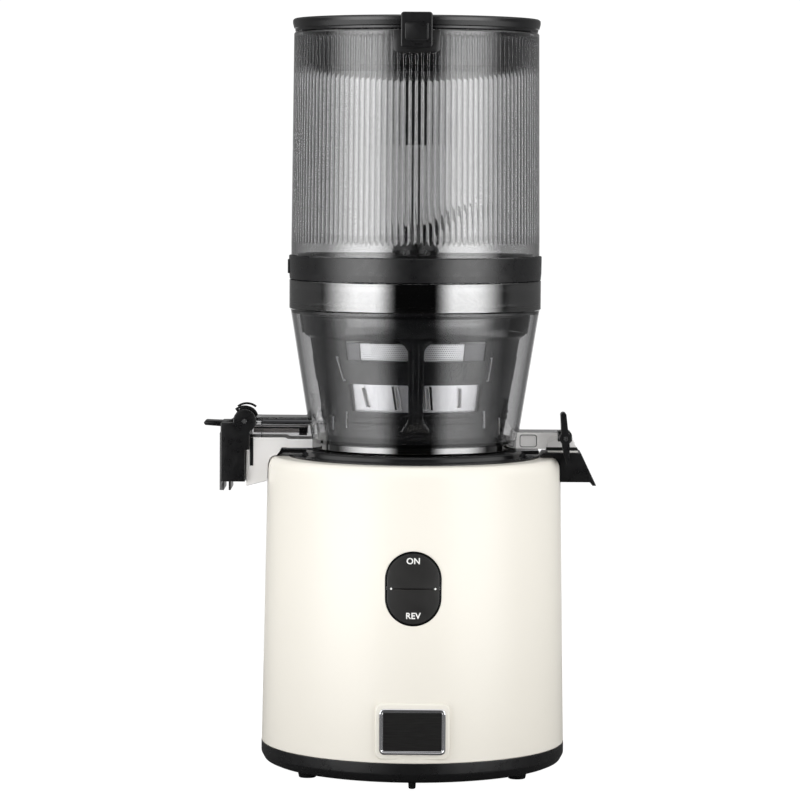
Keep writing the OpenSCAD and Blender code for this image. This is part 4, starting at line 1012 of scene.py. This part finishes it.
# ------------------------------------------------------------------ strainer screen: sheet with real holes
def perforated(name, rfn, z0, z1, pitch, hole, thick, mat):
    n = int(round(TAU * rfn((z0 + z1) / 2) / pitch))
    rows = int(round((z1 - z0) / (pitch * 0.866)))
    dz = (z1 - z0) / rows
    verts, faces = [], []

    def P(a, z, skin):
        r = rfn(z) - (thick if skin else 0.0)
        verts.append((r * math.sin(a), -r * math.cos(a), z))
        return len(verts) - 1

    half = math.pi / n
    ring = [[[P(k * half, z0 + j * dz, s) for k in range(2 * n)] for j in range(rows + 1)] for s in (0, 1)]
    for j in range(rows):
        zc = z0 + (j + 0.5) * dz
        off = j % 2
        side = [{}, {}]
        for s in (0, 1):
            for i in range(n):
                k = (2 * i + off - 1) % (2 * n)
                side[s][k] = P(k * half, zc, s)
        ra = hole / rfn(zc)
        for i in range(n):
            c = 2 * i + off
            oc = []
            per = []
            for s in (0, 1):
                oct_ = []
                for q in range(8):
                    t = rad(-135 + 45 * q)
                    oct_.append(P(c * half + ra * math.cos(t), zc + hole * math.sin(t), s))
                oc.append(oct_)
                lft, mid, rgt = (c - 1) % (2 * n), c % (2 * n), (c + 1) % (2 * n)
                per.append([ring[s][j][lft], ring[s][j][mid], ring[s][j][rgt], side[s][rgt] if rgt in side[s] else side[s][(c + 1) % (2 * n)],
                            ring[s][j + 1][rgt], ring[s][j + 1][mid], ring[s][j + 1][lft], side[s][lft]])
            for q in range(8):
                q2 = (q + 1) % 8
                faces.append([per[0][q], per[0][q2], oc[0][q2], oc[0][q]])
                faces.append([per[1][q2], per[1][q], oc[1][q], oc[1][q2]])
                faces.append([oc[0][q], oc[0][q2], oc[1][q2], oc[1][q]])
    for j, flip in ((0, False), (rows, True)):
        for k in range(2 * n):
            k2 = (k + 1) % (2 * n)
            f = [ring[0][j][k], ring[1][j][k], ring[1][j][k2], ring[0][j][k2]]
            faces.append(f[::-1] if flip else f)
    return mesh_obj(name, verts, faces, mat, fix=True)


scr = perforated("screen_mesh", lambda z: cage_r(z) - 2.32, 250.9, 262.6, 1.30, 0.40, 0.5, M["screen"])
shade(scr, 40)
low = lathe("screen_lower", [(cage_r(250.95) - 2.32, 250.95), (cage_r(203.4) - 2.32, 203.4), (cage_r(200) - 3.25, 200.2), (cage_r(200) - 4.0, 200.2), (cage_r(203.4) - 3.2, 203.4), (cage_r(250.95) - 3.2, 250.95)], 192, M["screen"])
boole(low, [block("pc", (40, -10, 195), (60, 10, 205.2))])
round_shade(low, 30)
put(scr, "bowl", "screen_steel", "strainer_screen")
put(low, "bowl", "screen_steel")

# ------------------------------------------------------------------ hopper, with real flutes on its inner wall
def fluted(name, n, per, mat):
    cols = n * per
    zs_in = [316.0, 319.5, 320.6, 321.0, 321.4, 321.9, 322.4, 323.0, 323.8, 326.0, 330.0, 345.0, 365.0, 385.0, 405.0, 425.0, 436.5, 442.0, 443.4, 443.9, 444.3, 444.7, 445.1, 446.0]
    rin0, zin0 = 72.3, 322.0

    def r_in(z):
        return 72.3 + (71.1 - 72.3) * (z - 322.0) / (447.5 - 322.0)

    sag = 0.36

    def bulge(s, z):
        """s from -1 to 1 across one flute"""
        if z <= 320.7 or z >= 445.0:
            return 0.0
        w = min(1.0, (z - 320.7) / 2.6, (445.0 - z) / 1.8)
        w = max(w, 0.02)
        if abs(s) >= w:
            return 0.0
        return sag * w * (1 - abs(s / w) ** 4)

    outer_p = fil([(71.0, 305.2, 0.4), (73.4, 305.2, 0.3), (73.4, 312.4), (75.1, 313.6, 0.3), (75.1, 322), (74.5, 380), (73.9, 446.5, 0.7), (73.2, 447.5, 0.5), (71.1, 447.5, 0.6)], 4)
    loop = [(r, z, False) for r, z in outer_p] + [(r_in(z), z, True) for z in reversed(zs_in)]
    loop[-1] = (72.3, 316.0, True)
    verts, faces = [], []
    for r, z, flu in loop:
        for c in range(cols):
            a = TAU * c / cols
            rr = r
            if flu:
                s = ((c % per) / per) * 2 - 1
                rr = r - bulge(s, z)
            verts.append((rr * math.cos(a), rr * math.sin(a), z))
    m = len(loop)
    for j in range(m):
        j2 = (j + 1) % m
        for c in range(cols):
            c2 = (c + 1) % cols
            faces.append([j * cols + c, j * cols + c2, j2 * cols + c2, j2 * cols + c])
    return mesh_obj(name, verts, faces, mat)


hop = fluted("hopper_wall", 132, 10, M["hopper"])
shade(hop, 26)
put(hop, "hopper", "hopper_clear", "hopper_shell")

# black ring, with a clear skirt that slips into the bowl
ringp = fil([(76.0, 299.1, 0.3), (76.35, 303, 0.6), (76.5, 313.4, 0.5), (75.3, 313.4, 0.3), (75.2, 313.1), (73.6, 312.1, 0.3), (73.6, 305), (71.0, 305), (71.0, 315.4, 0.3), (70.2, 315.4, 0.3), (43, 301.4, 0.5), (42, 300.6, 0.4), (42, 297.6, 0.3), (44, 297.0, 0.4),
             (69.4, 303.0, 0.4), (70.2, 299.3), (72.6, 299.3), (72.6, 299.1)], 5)
hring = lathe("hopper_collar", ringp, 224, M["black"])
gp = wrapped("gp", rrect(16, 8.4, 1.5, 5, 0, 306.6), -0.8, 0.95, lambda z: 76.3, -90, None, 0.35, 2.0, 76.3)
boole(hring, [gp], "UNION")
round_shade(hring, 30)
put(hring, "hopper", "black_plastic", "hopper_ring")
skirtp = fil([(70.2, 284.4, 0.5), (72.6, 284.4, 0.5), (72.6, 299.25), (70.2, 299.25)], 5)
sk = lathe("hopper_skirt", skirtp, 192, M["bowl"])
shade(sk, 35)
put(sk, "hopper", "hopper_clear")
gasket = frame["nodes"]["ring_gasket"]
gasket.data.materials.clear()
gasket.data.materials.append(M["bowl"])

cc = wrapped("catch_pad", fil([(-13.8, 446.8, 0.5), (-13.8, 433.5, 3.2), (13.8, 433.5, 3.2), (13.8, 446.8, 0.5)], 6), 0.06, 1.25, hop_r, 0, M["black"], 0.4, 1.8, 74.0, 3)
shade(cc, 40)
put(cc, "hopper", "black_plastic", "latch_catch")

# ------------------------------------------------------------------ lid
lr = fil([(68.6, 448.0), (73.2, 448.0, 0.2), (73.2, 449.4, 0.2), (73.9, 449.8, 0.3), (74.65, 452.7, 0.3), (74.65, 454.6, 0.7), (73.6, 455.6, 0.8), (66, 455.6, 0.3), (66, 452.4), (68.6, 452.4)], 5)
lid = lathe("lid_ring", lr, 240, M["lid"])
kn = prism("kn", circle(3.4, 48, 80.5, 449.5), -8.7, 8.7, "x")
kb = prism("kb", [(72.6, 449.8), (78.5, 446.9), (82.1, 452.5), (78.3, 455.4), (72.6, 455.4)], -8.7, 8.7, "x")
boole(lid, [kn, kb], "UNION")
boole(lid, [prism("kh", circle(1.55, 32, 80.5, 449.5), -20, 20, "x")])
round_shade(lid, 30)
put(lid, "lid", "lid_black", "lid_rim")

pg = fil([(0, 414), (2.9, 414), (2.9, 379.8, 0.3), (6.1, 379.8, 0.8), (6.3, 416.6, 2.0), (36, 418.9, 8), (60, 422.6, 2.4), (66.2, 426.2, 1.6), (69.0, 447.4), (68.5, 447.6), (68.5, 452.2), (66.4, 452.2), (66.4, 447), (64.2, 428.2, 1.2), (59, 425.0, 2.0), (36, 421.4, 6), (0, 419.8)], 6)
plug = lathe("lid_plug_body", pg, 224, M["plug"])
shade(plug, 32)
put(plug, "lid", "lid_black", "lid_plug")

cv = fil([(0, 450.2), (40, 450.6), (60, 451.6), (65.9, 452.6, 0.2), (65.9, 455.2, 0.5), (60, 453.8, 12), (40, 452.8, 20), (12, 452.4, 0.2), (11.4, 451.9, 0.3), (0, 451.9)], 8)
cover_l = lathe("lid_top", cv, 224, M["lid"])
shade(cover_l, 30)
tab = lathe("lid_top_ring", [(60.6, 446), (62.4, 446), (62.4, 452.2), (60.6, 452.0)], 160, M["lid"])
shade(tab, 40)
put(cover_l, "lid", "lid_black", "lid_cover")
put(tab, "lid", "lid_black")

lt = prism("lid_tab", rrect(18.5, 20.6, 1.8, 6, 0, 446.8), -77.6, -70, "y", M["black"])
bevel(lt, 0.7, 4, 50)
lcut = lathe("lc", [(0, 400), (75.5, 400), (75.5, 449.9), (74.73, 449.9), (74.73, 455.7), (72, 455.75), (72, 470), (0, 470)], 192)
boole(lt, [lcut])
# shallow finger scoop under the top bar, and a release slot at the foot
scoop = prism("sc", rrect(13.6, 10.5, 1.6, 6, 0, 446.0), -79, -77.25, "y")
bevel(scoop, 0.3, 2, 50)
foot_s = prism("fs", rrect(5.2, 1.1, 0.5, 5, 1.2, 438.4), -79, -76.6, "y")
boole(lt, [scoop, foot_s])
shade(lt, 34)
put(lt, "lid", "black_plastic", "lid_latch")

# ------------------------------------------------------------------ juice cap
CX, CZ = -102.4, 213.3


def band(ri, ro, a0, a1, n=22):
    return arc_pts(CX, CZ, ro, a0, a1, n) + arc_pts(CX, CZ, ri, a1, a0, n)


def capsolid():
    body = block("cap_body", (-116.9, -15.8, 176.6), (-101.9, 15.8, 212.4), M["black"])
    bevel(body, 0.7, 4, 50)
    boole(body, [block("h", (-113.4, -12.5, 170), (-105.6, 12.5, 206), None, 0.6)])
    adds = []
    for y0, y1 in ((12.8, 15.8), (-15.8, -12.8)):
        c = prism("ck", circle(7.0, 72, CX, CZ), y0, y1, "y")
        bevel(c, 0.5, 3, 50)
        adds.append(c)
        adds.append(block("cb", (-112, y0, 196), (-99.4, y1, 212.4), None, 0.4))
        t = prism("st", band(8.2, 9.4, 50, 128), y0, y1, "y")
        bevel(t, 0.25, 2, 50)
        adds.append(t)
        adds.append(prism("st2", band(6.8, 9.4, 116, 128), y0 + 0.1, y1 - 0.1, "y"))
    adds.append(prism("br", band(5.1, 7.0, 126, 264), -12.9, 12.9, "y"))
    wall = prism("wl", [(-117.4, -14.7), (-115.1, -15.75), (-114.8, -15.75), (-114.8, 15.75), (-115.1, 15.75), (-117.4, 14.7)], 171.4, 206, "z")
    ribw = block("rw", (-111.9, -15.7, 171.4), (-110.6, 15.7, 178), None, 0.35)
    pad_p = fil([(-126.4, 212.9, 0.8), (-127.8, 211.6, 1.1), (-126.6, 210.15, 0.8), (-116, 209.4), (-110, 208.6), (-109, 211.6), (-109.2, 214.6, 0.3), (-111.0, 213.2, 1.5), (-114.5, 212.5, 2.0)], 5)
    pd = prism("pd", pad_p, -7, 7, "y")
    bevel(pd, 0.2, 2, 50)
    boole(body, adds + [wall, ribw, pd], "UNION")
    cuts = [prism("p1", circle(1.56, 32, CX, CZ), -17.5, -11.5, "y"), prism("p2", circle(1.56, 32, CX, CZ), 11.5, 17.5, "y"),
            prism("r1", circle(5.1, 64, CX, CZ), -12.8, 12.8, "y"), block("r2", (-101.9, -12.8, 160), (-80, 12.8, 230)),
            block("r3", (-99.4, -30, 160), (-80, 30, 206)), block("r4", (-103.0, -10.4, 186.2), (-100, 10.4, 203.8))]
    boole(body, cuts)
    return body


cap = capsolid()
shade(cap, 34)
put(cap, "cap", "black_plastic", "juice_cap")
seal = prism("cap_gasket", rrect(20.6, 17.4, 1.6, 6, 0, 195), -103.0, -101.75, "x", M["rubber"])
bevel(seal, 0.3, 3, 50)
boole(seal, [prism("so", rrect(16.8, 13.6, 1.2, 6, 0, 195), -102.4, -101, "x")])
shade(seal, 34)
put(seal, "cap", "rubber", "cap_seal")

# ------------------------------------------------------------------ pulp lever and its bracket
lv = fil([(87.8, 218.6), (88.7, 200, 30), (91.5, 189.4, 0.5), (92.9, 189.0, 0.5), (93.4, 200, 30), (91.2, 218.8)], 8)
lever = prism("lever_blade", lv, -28.6, -16.7, "y", M["black"])
tip = prism("lt", circle(1.75, 40, 89.5, 218.67), -28.6, -16.7, "y")
hub = prism("lh", circle(3.6, 64, 90.8, 204.8), -28.6, -16.7, "y")
boole(lever, [tip, hub], "UNION")
boole(lever, [prism("lp", circle(1.46, 32, 90.8, 204.8), -40, -10, "y")])
bevel(lever, 0.35, 3, 50)
shade(lever, 34)
put(lever, "lever", "black_plastic", "pulp_lever")
brk = block("lever_holder", (86.6, -16.4, 202.2), (95.2, -13.05, 207.6), M["black"], 0.35)
cpb = block("cb", (86.6, -16.4, 207.2), (94.0, -6, 208.4), None, 0.3)
boole(brk, [cpb], "UNION")
boole(brk, [prism("h", circle(1.42, 32, 90.8, 204.8), -20, -10, "y"), prism("h2", [(94.2, 208.6), (96.6, 202), (100, 202), (100, 210), (94.2, 210)], -30, 0, "y")])
shade(brk, 34)
put(brk, "bowl", "black_plastic", "lever_bracket")

# ------------------------------------------------------------------ wing that feeds the fruit down
wp = fil([(-6.6, 322.75, 0.6), (11, 322.75, 0.6), (13.4, 326.8, 6), (19, 331.6, 8), (26.5, 337.4, 10), (33.6, 344.4, 0.5), (33.2, 345.6, 0.5), (20.5, 341.4, 10), (14, 336.4, 6), (8, 332.6, 5), (-6.2, 331, 1.2)], 6)
wing = prism("wing_blade", wp, -1.7, 1.7, "y", M["auger"])
bevel(wing, 0.6, 3, 50)
boole(wing, [prism("wc", circle(4.4, 48), 322.8, 331.3, "z")], "UNION")
boole(wing, [prism("wh", circle(2.45, 40), 300, 400, "z")])
shade(wing, 34)
put(wing, "screw", "auger_plastic", "cutting_wing")

# ------------------------------------------------------------------ floor, light and air
fl = prism("floor", circle(520, 96), -2.0, 0.0, "z")
fm, nt, p, out = new_mat("floor_white")
n1 = noise(nt, 3.0, 3.0)
dark_f = mixed(nt, ranged(nt, n1.outputs[0], 0, 1), (0.10, 0.10, 0.10), (0.11, 0.11, 0.11))
lpf = nt.nodes.new("ShaderNodeLightPath")
two = nt.nodes.new("ShaderNodeMix")
two.data_type = "RGBA"
two.inputs["B"].default_value = (0.62, 0.61, 0.60, 1)
nt.links.new(lpf.outputs["Is Diffuse Ray"], two.inputs["Factor"])
nt.links.new(dark_f, two.inputs["A"])
nt.links.new(two.outputs["Result"], p.inputs["Base Color"])
p.inputs["Roughness"].default_value = 0.6
p.inputs["Specular IOR Level"].default_value = 0.2
p.inputs["Emission Color"].default_value = (1, 1, 1, 1)
nt.links.new(lpf.outputs["Is Camera Ray"], p.inputs["Emission Strength"])
fl.data.materials.append(fm)


def lamp(name, az, el, dist, w, h, power, target=(0, 0, 0.24), spread=180, color=(1, 1, 1)):
    d = bpy.data.lights.new(name, "AREA")
    d.shape = "RECTANGLE"
    d.size = w
    d.size_y = h
    d.energy = power
    d.color = color
    d.spread = rad(spread)
    o = bpy.data.objects.new(name, d)
    SC.collection.objects.link(o)
    a, e = rad(az), rad(el)
    pos = Vector(target) + Vector((math.sin(a) * math.cos(e), -math.cos(a) * math.cos(e), math.sin(e))) * dist
    o.location = pos
    o.rotation_euler = (Vector(target) - pos).to_track_quat("-Z", "Y").to_euler()
    return o


lamp("soft_top", 0, 80, 1.2, 1.1, 0.9, 2.2)

# The studio is a sky: two tall softboxes left and right of the camera, a lit backdrop behind and black in front.
w = bpy.data.worlds.new("studio")
SC.world = w
w.use_nodes = True
nt = w.node_tree
nt.nodes.clear()
wo = nt.nodes.new("ShaderNodeOutputWorld")
bg = nt.nodes.new("ShaderNodeBackground")
tc = nt.nodes.new("ShaderNodeTexCoord")
sp = nt.nodes.new("ShaderNodeSeparateXYZ")
nt.links.new(tc.outputs["Generated"], sp.inputs[0])


def fade(src, a, b, c, d):
    m = nt.nodes.new("ShaderNodeMapRange")
    m.interpolation_type = "SMOOTHSTEP"
    for k, v in (("From Min", a), ("From Max", b), ("To Min", c), ("To Max", d)):
        m.inputs[k].default_value = v
    nt.links.new(src, m.inputs["Value"])
    return m.outputs[0]


def calc(op, *vals):
    m = nt.nodes.new("ShaderNodeMath")
    m.operation = op
    for i, v in enumerate(vals):
        if isinstance(v, (int, float)):
            m.inputs[i].default_value = v
        else:
            nt.links.new(v, m.inputs[i])
    return m.outputs[0]


SX, SY, SZ = sp.outputs
azim = calc("ARCTAN2", SX, calc("MULTIPLY", SY, -1.0))
elev = calc("ARCSINE", SZ)
behind = calc("ABSOLUTE", calc("ARCTAN2", SX, SY))


def softbox(side, a0, a1, b0, b1, peak, wide):
    """Bright near the horizon between two azimuths, with a weaker and wider glow above and below."""
    q = azim if side > 0 else calc("MULTIPLY", azim, -1.0)
    rise = fade(q, rad(a0), rad(a1), 0, 1)
    across = calc("MULTIPLY", rise, fade(q, rad(b0), rad(b1), 1, 0))
    broad = calc("MULTIPLY", fade(q, rad(a0), rad(a1 + 8), 0, 1), fade(q, rad(80), rad(135), 1, 0))
    core = calc("MULTIPLY", calc("MULTIPLY", fade(elev, rad(-24), rad(-12), 0, peak), fade(elev, rad(9), rad(20), 1, 0)), across)
    halo = calc("MULTIPLY", calc("MULTIPLY", fade(elev, rad(-44), rad(-34), 0, wide), fade(elev, rad(38), rad(58), 1, 0)), broad)
    gate = calc("MAXIMUM", fade(elev, rad(-24), rad(-12), 1, 0), fade(elev, rad(9), rad(20), 0, 1))
    return calc("MAXIMUM", core, calc("MULTIPLY", halo, gate))


boxes = calc("MAXIMUM", softbox(-1, 16, 40, 52, 98, 5.0, 2.4), softbox(1, 17, 38, 54, 92, 4.6, 2.2))
room = fade(SY, -0.2, 0.2, 0.012, 0.20)
screen_up = fade(elev, rad(-6.5), rad(2), 0.80, 0.30)
screen_on = calc("MULTIPLY", fade(behind, rad(7), rad(24), 1.0, 0.0), fade(elev, rad(-24), rad(-14), 0, 1))
screen_top = fade(elev, rad(14), rad(30), 1, 0)
drop_lit = calc("MULTIPLY", calc("MULTIPLY", screen_up, screen_on), screen_top)
over = fade(SZ, 0.45, 0.85, 0.0, 0.7)
sky = calc("MAXIMUM", calc("MAXIMUM", room, drop_lit), calc("MAXIMUM", over, boxes))
lpw = nt.nodes.new("ShaderNodeLightPath")
sel = nt.nodes.new("ShaderNodeMix")
sel.data_type = "FLOAT"
sel.inputs["B"].default_value = 1.05
nt.links.new(lpw.outputs["Is Camera Ray"], sel.inputs["Factor"])
nt.links.new(sky, sel.inputs["A"])
nt.links.new(sel.outputs["Result"], bg.inputs["Strength"])
bg.inputs["Color"].default_value = (1, 1, 1, 1)
nt.links.new(bg.outputs[0], wo.inputs[0])

SC.view_settings.view_transform = "Standard"
SC.view_settings.look = "None"
SC.view_settings.exposure = 0.0
SC.cycles.max_bounces = 24
SC.cycles.transmission_bounces = 22
SC.cycles.transparent_max_bounces = 24
SC.cycles.glossy_bounces = 8
SC.cycles.diffuse_bounces = 4
